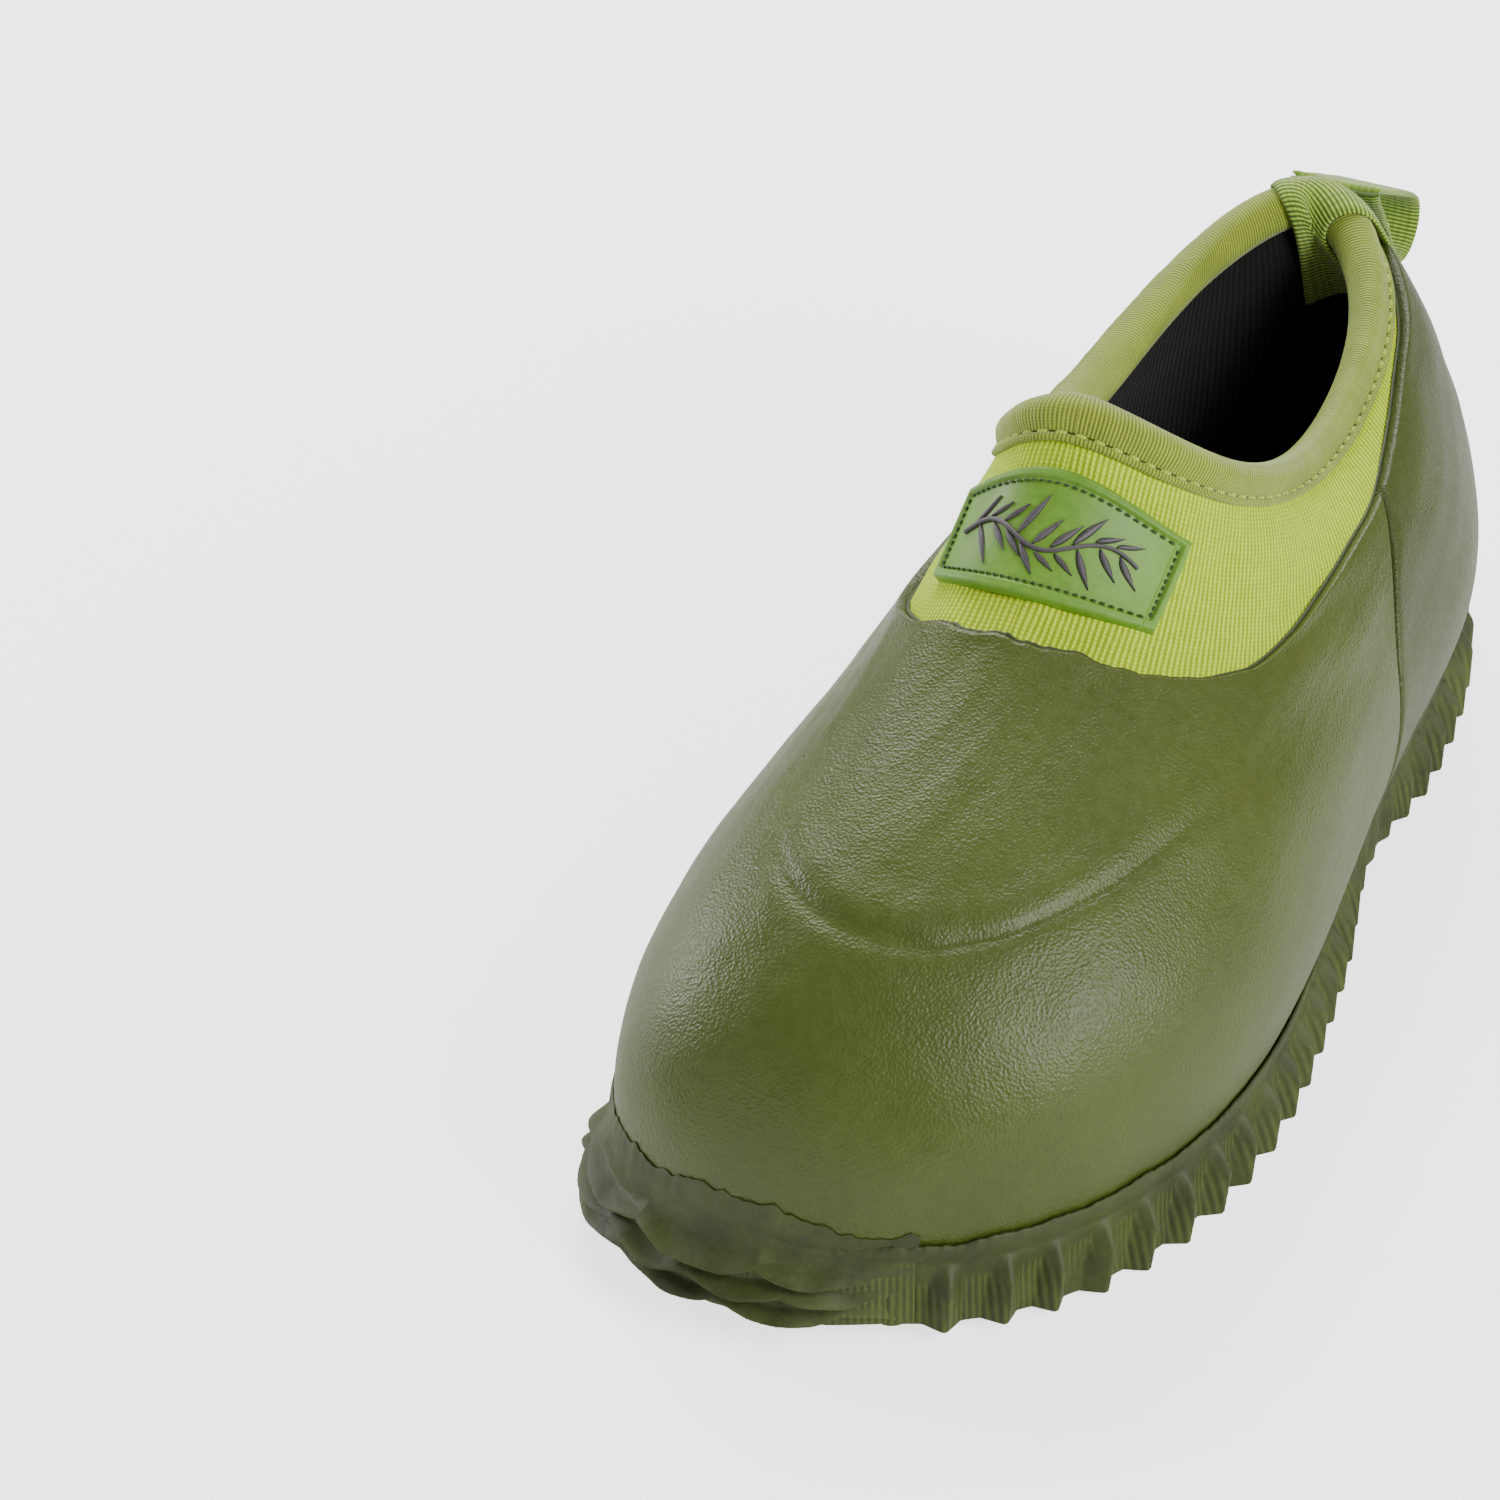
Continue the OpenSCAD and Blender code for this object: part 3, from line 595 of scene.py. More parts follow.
relief = (0.3 * noise(u_grid * 2, v_grid * 6, 4) + folds) * smooth(v_grid / 0.15)
d_out = RUBBER_IN + thick + relief * smooth(rim / RIM_FADE)
heel = shell("heel_shell_skin", u_grid, v_grid, d_out, RUBBER_IN * np.ones_like(d_out))
finish_piece(heel, HEEL, "clog", "heel_rubber", "heel_shell")


# thin line of glue along the rubber's top edge and down the side seams
def bead(name, u, v, d, width, height, meets):
    """A flat bead along a path on the upper; width and height in mm."""
    p, n, _, _ = surface(u, v)
    p = p + n * d * MM
    path = unit(np.gradient(p, axis=0) if not meets else np.roll(p, -1, 0) - np.roll(p, 1, 0))
    s = np.cross(path, n)
    angles = np.linspace(0, 2 * np.pi, 12, endpoint=False)
    ring = p[:, None] + (np.cos(angles)[None, :, None] * s[:, None] * width / 2
                         + np.sin(angles)[None, :, None] * n[:, None] * height / 2) * MM
    run = run_of(p)
    uv = np.stack(np.broadcast_arrays(run[:, None], angles[None, :] * 0.001), -1)
    return loft(name, ring, uv, meets)


glue_u = np.linspace(0, 12, 1200, endpoint=False)
glue = bead("glue_line_top", glue_u, rubber_edge(glue_u) + 0.003 + 0.0008 * noise(glue_u * 7, 0, 8),
            0.2, 0.9, 0.7, True)
finish_piece(glue, GLUE, "clog", "heel_rubber")
for side, sign in (("outer", 1), ("inner", -1)):
    v_line = np.linspace(0.03, 0.8, 160)
    line = bead("glue_line_" + side, sign * (seam_place(v_line) + HEEL_GAP / 2), v_line, 1.2,
                0.9, 1.2, False)
    finish_piece(line, GLUE, "clog", "heel_rubber")

# ---------------------------------------------------------------- neoprene and lining

u_ring = np.linspace(0, 12, 720, endpoint=False)
p = surface(u_ring, 0.88 * np.ones(720))[0]
run = run_of(p)
rows = np.linspace(0, 1, 130)
u_grid, v_grid = np.meshgrid(u_ring, rows, indexing="ij")
column_length = np.cumsum(length_of(np.diff(at(u_grid, v_grid, 0), axis=1)), 1)
column_length = np.concatenate([np.zeros((720, 1)), column_length], 1)
column_length = column_length - column_length[:, -1:]
knit_uv = np.stack([np.broadcast_to(run[:, None], u_grid.shape), column_length], -1)
puff = 0.5 * noise(u_grid * 1.6, v_grid * 9, 6) * smooth((v_grid - 0.65) / 0.1) \
    * smooth((1 - v_grid) / 0.1)
sock = shell("neoprene_sock", u_grid, v_grid, puff, -4 * np.ones_like(v_grid), True, knit_uv)
finish_piece(sock, KNIT, "clog", "neoprene", "neoprene_upper")
# the lining's near-black colour holds painted shade inside the shoe
liner = shell("lining_cloth_skin", u_grid, v_grid, -4.3 * np.ones_like(v_grid),
              -5.5 + 0.2 * puff, True, knit_uv)
finish_piece(liner, LINING_AND_SHADE, "clog", "lining_cloth", "lining")

# ---------------------------------------------------------------- collar binding

BIND_STEPS = 1080
bind_u = np.linspace(0, 12, BIND_STEPS, endpoint=False)
edge, edge_n, _, _ = surface(bind_u, np.ones(BIND_STEPS))
p2 = surface(bind_u, 0.985 * np.ones(BIND_STEPS))
edge_slope = length_of(edge - p2[0]) / 0.015
edge_t = unit(edge - p2[0])
bind_run = run_of(edge)


def below_edge(i, depth):
    """Height share a depth (mm) below the collar edge."""
    return 1 - depth * MM / edge_slope[i]


def beside_edge(depth, out):
    """Ring of points depth (mm) below the collar edge, or above it where negative."""
    if depth >= 0:
        v = below_edge(np.arange(BIND_STEPS), depth)
        return at(bind_u, v, out)
    out = np.broadcast_to(out, (BIND_STEPS,))[:, None]
    return edge + edge_n * out * MM - edge_t * depth * MM


# (depth below the edge, distance out of the neoprene's face) round the rolled binding
PROFILE = [(7.3, 0.1), (7.2, 0.5), (6.8, 0.7), (6.0, 1.05), (5.0, 1.5), (3.8, 1.85), (2.6, 2.0),
           (1.4, 1.9), (0.4, 1.6), (-0.4, 1.1), (-1.1, 0.3), (-1.6, -0.7), (-1.85, -1.8),
           (-1.9, -2.9), (-1.7, -4.1), (-1.3, -5.2), (-0.5, -6.1), (0.5, -6.7), (1.7, -7.0),
           (3.0, -7.1), (4.4, -7.0), (5.6, -6.7), (6.4, -6.2), (6.7, -5.8), (6.4, -5.55),
           (4.0, -5.55), (0.5, -5.55), (0.3, 0.1), (3.5, 0.1), (6.6, 0.1)]
# the roll stands up more than this, and its outer side is shorter
PROFILE = [(depth * (0.82 if depth > 0 and out > -6.9 else 1), out * (1.3 if out > 0.2 else 1))
           for depth, out in PROFILE]
wobble = 0.12 * noise(bind_run / MM / 6, 0, 9) + 0.08 * noise(bind_run / MM / 2.2, 0, 12)
loops = np.stack([beside_edge(depth, out + (wobble if out > 1 else 0)) for depth, out in PROFILE],
                 1)
around = run_of(np.array(PROFILE)) * MM
bind_uv = np.stack(np.broadcast_arrays(bind_run[:, None], around[None, :]), -1)
binding = loft("collar_binding_roll", loops, bind_uv, True)
finish_piece(binding, BINDING, "clog", "binding_cloth", "collar_binding")

# folded edge of the binding, a thin bead under the row of stitches
angles = np.linspace(0, 2 * np.pi, 14, endpoint=False)
bead_v = below_edge(np.arange(BIND_STEPS), 7.0 + 0.1 * noise(bind_run / MM / 5, 0, 2))
centre, out_n, _, up_t = surface(bind_u, bead_v)
up_t = unit(up_t)
ring = centre[:, None] + (np.sin(angles)[None, :, None] * out_n[:, None] * 0.75
                          + np.cos(angles)[None, :, None] * up_t[:, None] * 0.8
                          + out_n[:, None] * 0.45) * MM
fold = loft("binding_fold", ring, np.stack(np.broadcast_arrays(
    bind_run[:, None], angles[None, :] * 0.0009), -1), True)
finish_piece(fold, BINDING, "clog", "binding_cloth")


def stitches(name, starts, ends, ups, width, lift):
    """Short rounded runs of thread, each from its start to its end (m), bowed up by lift."""
    m, k = 9, 8
    s = np.linspace(0, 1, m)[None, :, None]
    a = np.linspace(0, 2 * np.pi, k, endpoint=False)
    path = starts[:, None] * (1 - s) + ends[:, None] * s
    arch = np.sin(np.pi * s) ** 0.7
    path = path + ups[:, None] * arch * lift
    size = width / 2 * np.sqrt(np.clip(1 - (2 * s - 1) ** 8, 0.05, 1))
    along = unit(ends - starts)[:, None]
    side = np.cross(along, ups[:, None])
    ring = path[:, :, None] + size[..., None] * (
        np.cos(a)[None, None, :, None] * side[:, :, None]
        + np.sin(a)[None, None, :, None] * ups[:, None, None])
    faces = []
    for i in range(len(starts)):
        faces.append(grid_faces(m, k, False, True, i * m * k))
        faces.append(i * m * k + np.arange(k)[None, ::-1])
        faces.append((i * m + m - 1) * k + np.arange(k)[None, :])
    by_size = [np.concatenate([f for f in faces if f.shape[1] == c]) for c in (4, k)]
    run = length_of(ends - starts)[:, None, None] * s[..., 0][..., None] * np.ones((1, 1, k))
    uv = np.stack([run, np.broadcast_to(a * 0.0003, run.shape)], -1)
    return make_mesh(name, ring, by_size, uv)


def along_edge(distance):
    """Place round the collar at a run (m) along its edge."""
    total = bind_run[-1] + bind_run[1]
    return np.interp(np.mod(distance, total), np.append(bind_run, total), np.append(bind_u, 12))


def on_collar(u, depth, out):
    p, n, _, _ = surface(u, np.ones_like(u))
    q = surface(u, 0.985 * np.ones_like(u))[0]
    v = 1 - depth * MM / (length_of(p - q) / 0.015)
    p, n, _, _ = surface(u, v)
    return p + n * out * MM, n


STITCH = 0.0034
total = bind_run[-1] + bind_run[1]
count = int(total / STITCH)
begin = along_edge(np.arange(count) * total / count)
finish = along_edge((np.arange(count) + 0.66) * total / count)
keep = (side_of(begin) < 5.72)
a, n_a = on_collar(begin, 6.2, 0.35)
b, _ = on_collar(finish, 6.2, 0.35)
sewn = stitches("collar_stitches", a[keep], b[keep], n_a[keep], 0.0009, 0.0004)
finish_piece(sewn, COLLAR_THREAD, "clog", "thread", "binding_stitching")

# ---------------------------------------------------------------- badge

BADGE_U, BADGE_V = 1.8, 0.055


def on_badge(p, q, d):
    """Point on the badge: p across and q up, each -1 to 1, d (mm) above the neoprene."""
    u = 0.0 + BADGE_U * p * (1 + 0.05 * q)
    v = 0.879 + BADGE_V * q + 0.04 * (0.5 - p * p)
    return at(u, v, d)


BADGE_LOW, RIM, FIELD = 0.05, 2.1, 1.25
across = np.unique(np.concatenate([np.linspace(-1, 1, 161), -1 + np.array([0.004, 0.01]),
                                   1 - np.array([0.004, 0.01]), np.linspace(0.90, 0.96, 13),
                                   -np.linspace(0.90, 0.96, 13)]))
up = np.unique(np.concatenate([np.linspace(-1, 1, 81), [-0.99, 0.99], np.linspace(0.78, 0.9, 13),
                               -np.linspace(0.72, 0.86, 13)]))
p_grid, q_grid = np.meshgrid(across, up, indexing="ij")
inside = smooth((0.955 - np.abs(p_grid)) / 0.03) \
    * smooth((np.where(q_grid > 0, 0.88, 0.82) - np.abs(q_grid)) / 0.06)
rim_out = np.minimum((1 - np.abs(p_grid)) * 22, (1 - np.abs(q_grid)) * 10.5)
top = RIM - (RIM - FIELD) * inside + 0.25 * inside * (1 - p_grid**2)
top = BADGE_LOW + (top - BADGE_LOW) * rounding(rim_out * MM, 0.0007)
loops = np.concatenate([on_badge(p_grid, q_grid, top),
                        on_badge(p_grid, q_grid, BADGE_LOW * np.ones_like(top))[:, ::-1]], 1)
plate = loft("badge_plate", loops, np.concatenate([np.stack([p_grid, q_grid], -1)] * 2, 1) * 0.02)
finish_piece(plate, BADGE, "clog", "badge_rubber", "badge")


def tube(points, ups, radius, sides=10):
    """Loops of a round tube along points; radius is one number or one a point."""
    path = unit(np.gradient(points, axis=0))
    side = unit(np.cross(path, ups))
    up_v = np.cross(side, path)
    a = np.linspace(0, 2 * np.pi, sides, endpoint=False)
    r = np.broadcast_to(radius, (len(points),))[:, None, None]
    return points[:, None] + r * (np.cos(a)[None, :, None] * side[:, None]
                                  + np.sin(a)[None, :, None] * up_v[:, None])


def join(pieces, name):
    """One object from several."""
    bpy.ops.object.select_all(action="DESELECT")
    for piece in pieces:
        piece.select_set(True)
    bpy.context.view_layer.objects.active = pieces[0]
    bpy.ops.object.join()
    pieces[0].name = name
    return pieces[0]


# generic leaf sprig in place of lettering: a wavy stem with leaves either side
def field_height(p, q):
    return FIELD + 0.25 * (1 - p * p)


def on_field(p, q, lift):
    return on_badge(p, q, field_height(p, q) + lift)


sprig = []
s = np.linspace(0, 1, 90)
stem_p, stem_q = -0.78 + 1.5 * s, 0.2 * np.sin(s * 9.0)
base = on_field(stem_p, stem_q, 0.25)
normal = unit(on_field(stem_p, stem_q, 1.25) - base)
sprig.append(loft("sprig_stem", tube(base, normal, (0.55 - 0.2 * s) * MM), None))
for i in range(9):
    t = 0.08 + i * 0.1
    for hand in (1, -1):
        p0 = -0.78 + 1.5 * (t + (0.03 if hand < 0 else 0))
        q0 = 0.2 * math.sin((t + (0.03 if hand < 0 else 0)) * 9.0)
        f = np.linspace(0, 1, 24)
        reach_q = 0.62 - 0.1 * abs(t - 0.45) - hand * q0
        mid_p = p0 + 0.15 * f + 0.03 * f**2
        mid_q = q0 + hand * (0.05 + (reach_q - 0.05) * f * (0.75 + 0.25 * math.cos(i * 2.1)))
        width = 0.034 * np.sin(np.pi * np.clip(f, 0.02, 0.99) ** 0.75)
        loops = []
        for side, lift in ((-1, 0.0), (-0.6, 0.4), (0, 0.55), (0.6, 0.4), (1, 0.0), (0, -0.1)):
            loops.append(on_field(mid_p + side * width, mid_q - hand * side * width * 0.4, lift))
        sprig.append(loft(f"sprig_leaf_{i}_{hand}", np.stack(loops, 1)[:, ::1], None))
motif = join(sprig, "badge_sprig")
finish_piece(motif, MOTIF, "clog", "motif_rubber", "badge_motif")

starts, ends, ups = [], [], []
for q, n_row in ((0.79, 27), (-0.74, 27)):
    for k in range(n_row):
        p = -0.91 + k * 1.82 / n_row
        starts.append(on_field(p, q, 0.12))
        ends.append(on_field(p + 1.2 / n_row, q, 0.12))
        ups.append(on_field(p, q, 1.12))
for p in (-0.925, 0.925):
    for k in range(10):
        q = -0.7 + k * 0.148
        starts.append(on_field(p, q, 0.12))
        ends.append(on_field(p, q + 0.1, 0.12))
        ups.append(on_field(p, q, 1.12))
starts, ends, ups = (np.array([np.asarray(x).reshape(3) for x in y]) for y in (starts, ends, ups))
badge_thread = stitches("badge_stitches", starts, ends, unit(ups - starts), 0.0005, 0.0002)
finish_piece(badge_thread, BADGE_THREAD, "clog", "thread", "badge_stitching")

# ---------------------------------------------------------------- webbing

back_speed = length_of(surface(np.array([6.0]), np.array([1.0]))[2])[0]
TAPE_HALF = 9.2 * MM / back_speed
# (depth below the collar edge, distance out) along the tape's mid-line, inside to outside
TAPE_PATH = [(26, -6.4), (20, -6.5), (14, -6.8), (9, -7.4), (6, -7.8), (3, -7.95), (0.5, -7.5),
             (-1.1, -6.5), (-2.1, -5.2), (-2.7, -3.8), (-2.8, -2.4), (-2.5, -1.0), (-1.7, 0.6),
             (-0.6, 1.9), (0.8, 2.6), (2.8, 3.1), (5, 3.0), (7.0, 2.8), (8.8, 2.6), (9.8, 2.5)]
path_knots = run_of(np.array(TAPE_PATH, float))
fine = np.linspace(0, path_knots[-1], 150)
depths = np.interp(fine, path_knots, [d for d, _ in TAPE_PATH])
outs = np.interp(fine, path_knots, [o for _, o in TAPE_PATH])
kernel = np.hanning(11) / np.hanning(11).sum()
depths = np.convolve(np.pad(depths, 5, "edge"), kernel, "valid")
outs = np.convolve(np.pad(outs, 5, "edge"), kernel, "valid")
tape_u = 6 + TAPE_HALF * np.linspace(-1, 1, 25)


def tape_point(u, depth, out):
    p, n, _, _ = surface(u, np.ones_like(u))
    q = surface(u, 0.985 * np.ones_like(u))[0]
    t = unit(p - q)
    v = 1 - np.maximum(depth, 0) * MM / (length_of(p - q) / 0.015)
    base, n2, _, _ = surface(u, v)
    above = p + n * (out * MM)[..., None] - t * (depth * MM)[..., None]
    below = base + n2 * (out * MM)[..., None]
    return np.where((depth < 0)[..., None], above, below)


uu, dd = np.meshgrid(tape_u, depths, indexing="ij")
_, oo = np.meshgrid(tape_u, outs, indexing="ij")
middle = tape_point(uu, dd, oo)
gu, gv = np.gradient(middle, axis=0), np.gradient(middle, axis=1)
normal = unit(np.cross(gv, gu))
out_dir = tape_point(uu[:, -3:], dd[:, -3:], oo[:, -3:] + 1) - middle[:, -3:]
if (normal[:, -3:] * out_dir).sum() < 0:
    normal = -normal
rounded = np.sqrt(np.clip(1 - np.abs(np.linspace(-1, 1, 25)) ** 10, 0.06, 1))[:, None, None]
outer = middle + normal * 0.7 * MM * rounded
inner = middle - normal * 0.7 * MM * rounded
loops = np.concatenate([outer, inner[:, ::-1]], 1)
tape_uv = np.stack([(uu - 6) * back_speed, np.broadcast_to(fine * MM, uu.shape)], -1)
tape = loft("collar_webbing", loops, np.concatenate([tape_uv, tape_uv[:, ::-1]], 1))
finish_piece(tape, WEBBING, "clog", "webbing", "collar_tape")

# pull loop: one strip of webbing bent into a drop, its root on the tape
joint = frame["joints"][0]
ROOT = np.array(joint["pos_m"])
loop_low, loop_high = (np.array(b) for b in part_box("pull_loop"))
loop_x = (loop_low[0] + loop_high[0]) / 2
loop_half = (loop_high[0] - loop_low[0]) / 2
cad_loop = np.array([v.co for v in frame["nodes"]["pull_loop"].data.vertices], float)
reach_dir = unit(np.array([0, cad_loop[:, 1].mean() - ROOT[1], cad_loop[:, 2].mean() - ROOT[2]]))
reach = np.max((cad_loop - ROOT) @ reach_dir)
up_dir = np.cross([1.0, 0, 0], reach_dir)
radius = np.max(np.abs((cad_loop - ROOT) @ up_dir)) - 0.7 * MM
centre_run = reach - radius - 0.7 * MM
tangent = math.acos(radius / centre_run)
arc = np.linspace(math.pi - tangent, tangent - math.pi, 90)
drop = np.stack([centre_run + radius * np.cos(arc), radius * np.sin(arc)], -1)
leg = np.linspace(0, 1, 40, endpoint=False)[:, None]
squeeze = np.array([[-0.9 * MM, 0.5 * MM], [-0.9 * MM, -0.5 * MM]])
top_leg = squeeze[0] * (1 - leg) + drop[0] * leg
low_leg = (squeeze[1] * (1 - leg) + drop[-1] * leg)[::-1]
path = np.concatenate([top_leg, drop, low_leg])
sag = np.interp(path[:, 0], [0, centre_run * 0.5, reach], [0, 0.0008, 0])
path[:, 1] -= sag
bend = np.hanning(15)[1:-1] / np.hanning(15).sum()
path[6:-6] = np.stack([np.convolve(path[:, k], bend, "valid") for k in (0, 1)], -1)
run = run_of(path)
tangent_dir = unit(np.gradient(path, axis=0))
side_dir = np.stack([-tangent_dir[:, 1], tangent_dir[:, 0]], -1)
width = np.linspace(-1, 1, 21)
rounded = np.sqrt(np.clip(1 - np.abs(width) ** 10, 0.06, 1))


# near its root the strap wraps round the webbing and hangs lower
ROOT_LENGTH, ROOT_WRAP, ROOT_DROP = 12 * MM, 2.2 * MM, 1.6 * MM


def loop_points(offset):
    flat = path[:, None] + side_dir[:, None] * (offset * rounded)[None, :, None]
    x = loop_x + width * loop_half
    near = smooth(1 - path[:, 0] / ROOT_LENGTH)[:, None]
    wrap_round = near * (width**2)[None, :] * ROOT_WRAP
    lower = near * ROOT_DROP
    flat = flat - np.stack([wrap_round, np.broadcast_to(lower, wrap_round.shape)], -1)
    return (ROOT[None, None] * np.array([0, 1, 1]) + flat[..., :1] * reach_dir
            + flat[..., 1:] * up_dir + x[None, :, None] * np.array([1.0, 0, 0]))


outer, inner = loop_points(0.7 * MM), loop_points(-0.7 * MM)
loops = np.concatenate([outer, inner[:, ::-1]], 1)
loop_uv = np.stack(np.broadcast_arrays((width * loop_half)[None, :], run[:, None]), -1)
strap = loft("pull_loop_webbing", loops, np.concatenate([loop_uv, loop_uv[:, ::-1]], 1))
strap.data.materials.append(WEBBING)
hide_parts("pull_loop")
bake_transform(strap)

# rows of stitches that tack the loop to the tape
starts, ends, ups = [], [], []
for row in range(3):
    for k in range(7):
        u0 = np.array([6 + TAPE_HALF * (-0.86 + k * 0.26)])
        u1 = u0 + TAPE_HALF * 0.17
        depth = np.array([7.2 + row * 1.3])
        out = np.array([3.5 - row * 0.13])
        starts.append(tape_point(u0, depth, out)[0])
        ends.append(tape_point(u1, depth, out)[0])
        ups.append(tape_point(u0, depth, out + 1)[0])
starts, ends, ups = np.array(starts), np.array(ends), np.array(ups)
tack = stitches("loop_stitches", starts, ends, unit(ups - starts), 0.0006, 0.0003)
finish_piece(tack, THREAD, "clog", "thread", "loop_stitching")

# ---------------------------------------------------------------- sole

SOLE_H, WALL_IN, WALL_OUT, REACH = 14.0, 2.8, 4.2, 3.9
seam_u = np.linspace(0, 12, 2881)
seam_p = surface(seam_u, np.zeros_like(seam_u))[0]
seam_run = run_of(seam_p)
SEAM = seam_run[-1]
LUGS = 2 * round(SEAM / MM / 9.5 / 2)
FRAME_Y = SHIFT[1]


def tread_z(y):
    """Underside of the tread (mm) at y (m) in the row frame."""
    s = (y - FRAME_Y) / MM
    return 4.5 * smooth((-75 - s) / 75) ** 2 + 3 * smooth(1 - np.abs(s - 28) / 32)


def sole_at(u, d, h):
    """Point of the sole d (mm) outside the seam and h (mm) up from the tread."""
    q = at(u, np.zeros_like(u), d)
    top = surface(u, np.zeros_like(u))[0][..., 2]
    low_z = tread_z(q[..., 1]) * MM
    q[..., 2] = low_z + h / SOLE_H * (top - low_z)
    return q


N = 1728
s_run = (np.arange(N) + 0.5) / N * SEAM
u_seam = np.interp(s_run, seam_run, seam_u)
w_seam = np.where(u_seam > 6, u_seam - 12, u_seam)
y_seam = (surface(u_seam, np.zeros(N))[0][:, 1] - FRAME_Y) / MM
waist = smooth(1 - np.abs(y_seam - 28) / 36)
toe_part = smooth((w_seam + 1.8) / 0.2) * smooth((0.85 - w_seam) / 0.25)
full_reach = REACH * (1 - 0.75 * waist) * (1 - toe_part)
jitter = 0.05 * noise(u_seam * 4, 0, 3)


def tooth(h):
    """How far out the lugs reach at height h, from 0 in a valley to 1 at a tip."""
    lean = -2.5 * MM * np.sin(np.radians(30 * u_seam)) * (1 - h / 12)
    phase = np.mod((s_run - lean) / SEAM * LUGS + jitter, 1.0)
    t = 1 - np.abs(2 * phase - 1)
    foot = 0.12 + 0.45 * h / 13
    return np.clip((t - foot) / (0.93 - foot), 0, 1)


lip_v = 0.021 + 0.0035 * noise(u_seam * 6, 0, 1) + 0.0015 * noise(u_seam * 31, 0, 2)
rings, ring_v = [], []


def add_ring(points, run):
    rings.append(points)
    ring_v.append(run)


ones = np.ones(N)
add_ring(sole_at(u_seam, WALL_IN * ones, 8 * ones), 0)
add_ring(sole_at(u_seam, WALL_IN * ones, 13.6 * ones), 6)
add_ring(at(u_seam, lip_v, 2.6 * ones), 10)
add_ring(at(u_seam, lip_v + 0.001, 2.9 * ones), 10.5)
add_ring(at(u_seam, lip_v, 3.3 * ones), 11)
add_ring(at(u_seam, lip_v * 0.45, 3.8 * ones), 12.5)
add_ring(sole_at(u_seam, 4.2 * ones, 14.1 * ones), 14)
add_ring(sole_at(u_seam, WALL_OUT - 0.1 + 0.15 * noise(u_seam * 9, 0, 4), 13.6 * ones), 15)
for h in (13.2, 12.4, 11.4, 10.2, 9, 7.8, 6.6, 5.4, 4.2, 3, 2, 1.1, 0.5, 0.15, 0):
    wedge = np.clip((13.6 - h) / 5.2, 0, 1) ** 0.8
    swell = 0.3 * smooth((9 - h) / 9)
    t = tooth(h)
    shape = np.maximum(t * wedge, swell * (0.75 + 0.25 * t))
    under = 0.45 if h == 0 else (0.15 if h < 0.4 else 0)
    add_ring(sole_at(u_seam, WALL_OUT + full_reach * shape - under, h * ones), 29 - h)
add_ring(sole_at(u_seam, -1.5 * ones, 0 * ones), 38)
add_ring(sole_at(u_seam, -3.0 * ones, 0.1 * ones), 40)
add_ring(sole_at(u_seam, -3.4 * ones, 1.2 * ones), 41)
add_ring(sole_at(u_seam, -3.6 * ones, 3.9 * ones), 44)
loops = np.stack(rings)
sole_uv = np.stack(np.broadcast_arrays(s_run[None, :], np.array(ring_v)[:, None] * MM), -1)
sole = loft("outsole_rubber", loops[::-1], sole_uv[::-1])

# tread bars across the sole, each a zigzag rib with sloping sides
bars = []
lug_s = (np.arange(2 * LUGS) + 0.5) * SEAM / LUGS / 2
lug_u = np.interp(np.mod(lug_s - 2.5 * MM * np.sin(np.radians(30 * np.interp(
    lug_s, seam_run, seam_u))), SEAM), seam_run, seam_u)
for i in range(4, LUGS - 4, 2):
    a = sole_at(lug_u[i:i + 1], -1.5 * np.ones(1), np.zeros(1))[0]
    b = sole_at(lug_u[2 * LUGS - 1 - i:2 * LUGS - i], -1.5 * np.ones(1), np.zeros(1))[0]
    s = np.linspace(0, 1, 49)
    middle = a[None] * (1 - s[:, None]) + b[None] * s[:, None]
    width_now = abs(a[0] - b[0])
    zig = 1.6 * MM * (np.abs(np.mod(s * width_now / (18 * MM), 1) * 2 - 1) * 2 - 1)
    middle[:, 1] += zig * smooth(np.minimum(s, 1 - s) * 6)
    z = tread_z(middle[:, 1]) * MM
    half = 2.4 * MM
    profile = [(-half - 0.4 * MM, 4.4 * MM), (-half, 0.9 * MM), (-half + 0.5 * MM, 0.2 * MM),
               (half - 0.5 * MM, 0.2 * MM), (half, 0.9 * MM), (half + 0.4 * MM, 4.4 * MM)]
    loop = np.stack([np.stack([middle[:, 0], middle[:, 1] + dy, z + dz], -1)
                     for dy, dz in profile], 1)
    uv = np.stack(np.broadcast_arrays(s[:, None] * width_now,
                                      np.arange(6)[None, :] * 0.002), -1)
    bars.append(loft(f"tread_bar_{i}", loop, uv))
sole = join([sole] + bars, "outsole_rubber")
finish_piece(sole, SOLE, "clog", "sole_rubber", "outsole")

# toe bumper: three rows of overlapping flakes up the toe, ending in a ragged flap on the vamp
n_u, n_s = 480, 170
w_b = np.linspace(-1.72, 0.82, n_u)
s_b = np.concatenate([[0, 0.004, 0.01], np.linspace(0.02, 0.985, n_s), [0.992, 0.997, 1]])
tt = (w_b + 1.72) / 2.54
fade = smooth(np.minimum(tt * 8, (1 - tt) * 4))
flap = 0.05 + 0.012 * np.exp(-((w_b + 0.15) / 0.5) ** 2) + 0.006 * noise(w_b * 4, 0, 2) \
    - 0.018 * smooth((w_b - 0.1) / 0.6) + 0.004 * noise(w_b * 17, 0, 4)
seam_at_b = np.interp(np.mod(w_b, 12), seam_u, seam_run)
run_b = np.where(w_b < 0, seam_at_b - SEAM, seam_at_b) / MM
inner_d = np.interp(s_b, [0, 0.6, 0.72, 0.8, 1], [4.9, 4.9, 3.6, 2.9, 2.4])

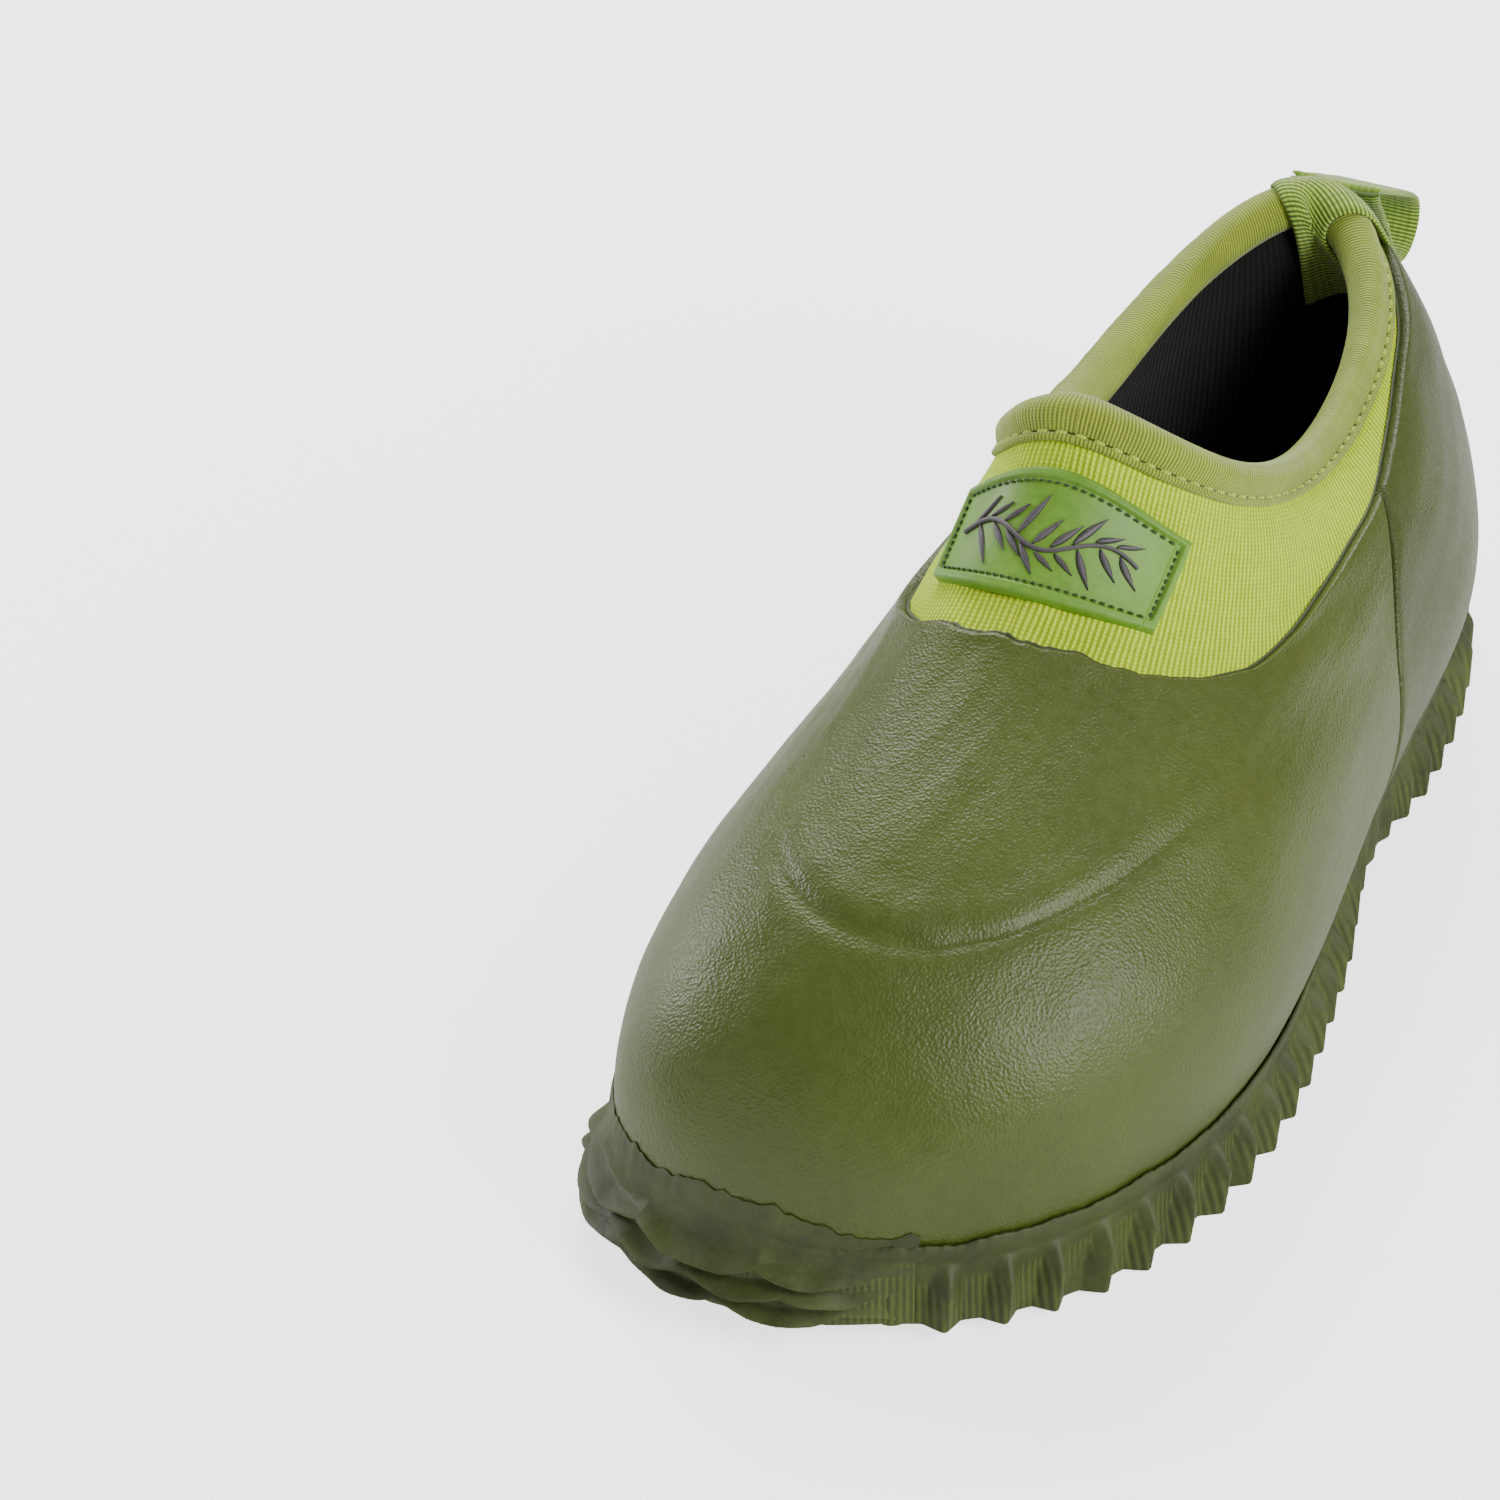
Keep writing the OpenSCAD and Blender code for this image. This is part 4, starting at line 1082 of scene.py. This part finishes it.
steps = np.zeros((n_u, len(s_b)))
for k, (place, rise_mm, wavelength, phase) in enumerate(
        ((0.1, 3.2, 19, 0.1), (0.33, 3.5, 16, 0.45), (0.55, 3.2, 21, 0.8))):
    scallop = np.abs(np.sin(np.pi * (run_b / wavelength + phase + 0.12 * noise(run_b / 14, 0, k))))
    lip_line = place - 0.1 * scallop + 0.05 + 0.025 * noise(run_b / 5, 0, k)
    height = rise_mm * (0.6 + 0.4 * scallop)
    above = s_b[None, :] - lip_line[:, None]
    steps += height[:, None] * smooth(1 - above / 0.15) * smooth(above / 0.014 + 0.5)
steps += 1.6 * smooth((0.75 - s_b) / 0.5)[None, :]
skin = 0.3 + (0.5 + steps) * fade[:, None]
skin = skin * (0.3 + 0.7 * smooth((1 - s_b) / 0.15))[None, :] + 0.12 * noise(
    run_b[:, None] / 3, s_b[None, :] * 9, 5) * fade[:, None]
uu = np.broadcast_to(w_b[:, None], skin.shape)
ss = np.broadcast_to(s_b[None, :], skin.shape)
SPLIT = 0.66


def bumper_at(d):
    h = 0.8 + ss / SPLIT * (SOLE_H - 0.8)
    low_part = sole_at(uu.ravel(), d.ravel(), np.minimum(h, SOLE_H).ravel()).reshape(d.shape + (3,))
    v = np.clip((ss - SPLIT) / (1 - SPLIT), 0, 1) * flap[:, None]
    high_part = at(uu, v, d)
    return np.where((ss < SPLIT)[..., None], low_part, high_part)


inner_grid = np.broadcast_to(inner_d[None, :], skin.shape)
loops = np.concatenate([bumper_at(inner_grid + skin), bumper_at(inner_grid)[:, ::-1]], 1)
uv = np.stack([np.broadcast_to(run_b[:, None] * MM, skin.shape), ss * 0.03], -1)
bumper = loft("toe_bumper_rubber", loops, np.concatenate([uv, uv[:, ::-1]], 1))
finish_piece(bumper, BUMPER, "clog", "sole_rubber", "toe_bumper")


# ---------------------------------------------------------------- footbed and inner layers

def slab(name, d, low_h, high_h, rings=10, dish=0.0, uv_scale=1.0):
    """Flat layer with the sole's outline; its top can be dished."""
    n = 360
    s = (np.arange(n) + 0.5) / n * SEAM
    u = np.interp(s, seam_run, seam_u)
    outline = sole_at(u, d * np.ones(n), high_h * np.ones(n))
    low_line = sole_at(u, (d - 0.2) * np.ones(n), low_h * np.ones(n))
    mirror = outline[::-1]
    layers = []
    for k in range(rings + 1):
        t = k / rings * 0.98
        layer = outline * (1 - t / 2) + mirror * t / 2
        layer[:, 2] -= dish * MM * smooth(t * 1.6)
        layers.append(layer)
    loops = np.stack([low_line] + layers)
    uv = loops[..., :2] * uv_scale
    return loft(name, loops, uv)


# the footbed cloth takes the lining's near-black colour, darkened as painted shade inside the shoe
cover = slab("footbed_cloth", -6.5, 19.1, 20.1, 12, 0.4)
finish_piece(cover, LINING_AND_SHADE, "clog", "lining_cloth", "footbed_cover")
for name, mat in (("footbed", FOAM), ("lasting_board", BOARD), ("midsole", EVA)):
    cad = frame["nodes"][name]
    cad.data.materials.clear()
    cad.data.materials.append(mat)

# ---------------------------------------------------------------- stage, light and camera

floor_size = 30.0
FLOOR_GLOW, SKY = 2.0, 0.28
floor = make_mesh("floor", [(-floor_size, -floor_size, 0), (floor_size, -floor_size, 0),
                            (floor_size, floor_size, 0), (-floor_size, floor_size, 0)],
                  np.array([[0, 1, 2, 3]]))
floor_mat, floor_shader = material("floor_paper", 0.9, 0, 0.1)
floor_tone = noise_of(floor_mat, place_of(floor_mat), 900, 2)
connect(floor_mat, ramp(floor_mat, floor_tone, [(0.3, (0.95, 0.95, 0.955, 1)),
                                                (0.7, (0.98, 0.98, 0.98, 1))]),
        floor_shader, "Base Color")
# the paper glows for the camera only, so that it looks pale and doesn't light the shoe
seen = node(floor_mat, "ShaderNodeLightPath").outputs["Is Camera Ray"]
floor_shader.inputs["Emission Color"].default_value = (1, 1, 1, 1)
connect(floor_mat, math_node(floor_mat, "MULTIPLY", seen, FLOOR_GLOW), floor_shader,
        "Emission Strength")
floor.data.materials.append(floor_mat)
floor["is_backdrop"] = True

world = bpy.data.worlds.new("studio")
world.use_nodes = True
world.node_tree.nodes["Background"].inputs["Color"].default_value = (1, 1, 1, 1)
world.node_tree.nodes["Background"].inputs["Strength"].default_value = SKY
bpy.context.scene.world = world


def softbox(name, location, aim, size, power):
    light = bpy.data.lights.new(name, "AREA")
    light.shape = "RECTANGLE"
    light.size, light.size_y = size
    light.energy = power
    lamp = bpy.data.objects.new(name, light)
    bpy.context.scene.collection.objects.link(lamp)
    lamp.location = location
    away = np.array(location) - np.array(aim)
    lamp.rotation_mode = "QUATERNION"
    lamp.rotation_quaternion = Vector(away).to_track_quat("Z", "Y")
    return lamp


softbox("right_light", (0.98, -0.2, 0.72), (0, -0.03, 0.05), (0.55, 0.75), 16)
softbox("front_light", (-0.32, -1.15, 0.24), (0, -0.05, 0.04), (0.3, 0.22), 1.2)
softbox("back_light", (-0.55, 0.85, 1.0), (0, 0, 0.05), (0.9, 0.6), 19)
softbox("left_light", (-1.1, -0.05, 0.42), (0, -0.08, 0.05), (0.4, 0.3), 8)

AZIMUTH, ELEVATION, ROLL = math.radians(27.8), math.radians(35.5), math.radians(-0.9)
DISTANCE, LENS = 0.832, 104.4
TARGET = np.array([-0.0626, -0.0331, 0.036]) + SHIFT
back = np.array([math.sin(AZIMUTH) * math.cos(ELEVATION), -math.cos(AZIMUTH) * math.cos(ELEVATION),
                 math.sin(ELEVATION)])
right = np.array([math.cos(AZIMUTH), math.sin(AZIMUTH), 0])
up_vector = np.cross(back, right)
right, up_vector = (math.cos(ROLL) * right + math.sin(ROLL) * up_vector,
                    -math.sin(ROLL) * right + math.cos(ROLL) * up_vector)
camera_data = bpy.data.cameras.new("camera")
camera_data.sensor_width = 36
camera_data.lens = LENS
camera_data.clip_start, camera_data.clip_end = 0.05, 100
camera = bpy.data.objects.new("camera", camera_data)
bpy.context.scene.collection.objects.link(camera)
place = TARGET + back * DISTANCE
camera.matrix_world = Matrix([[right[i], up_vector[i], back[i], place[i]] for i in range(3)]
                             + [[0, 0, 0, 1]])
bpy.context.scene.camera = camera

low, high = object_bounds()
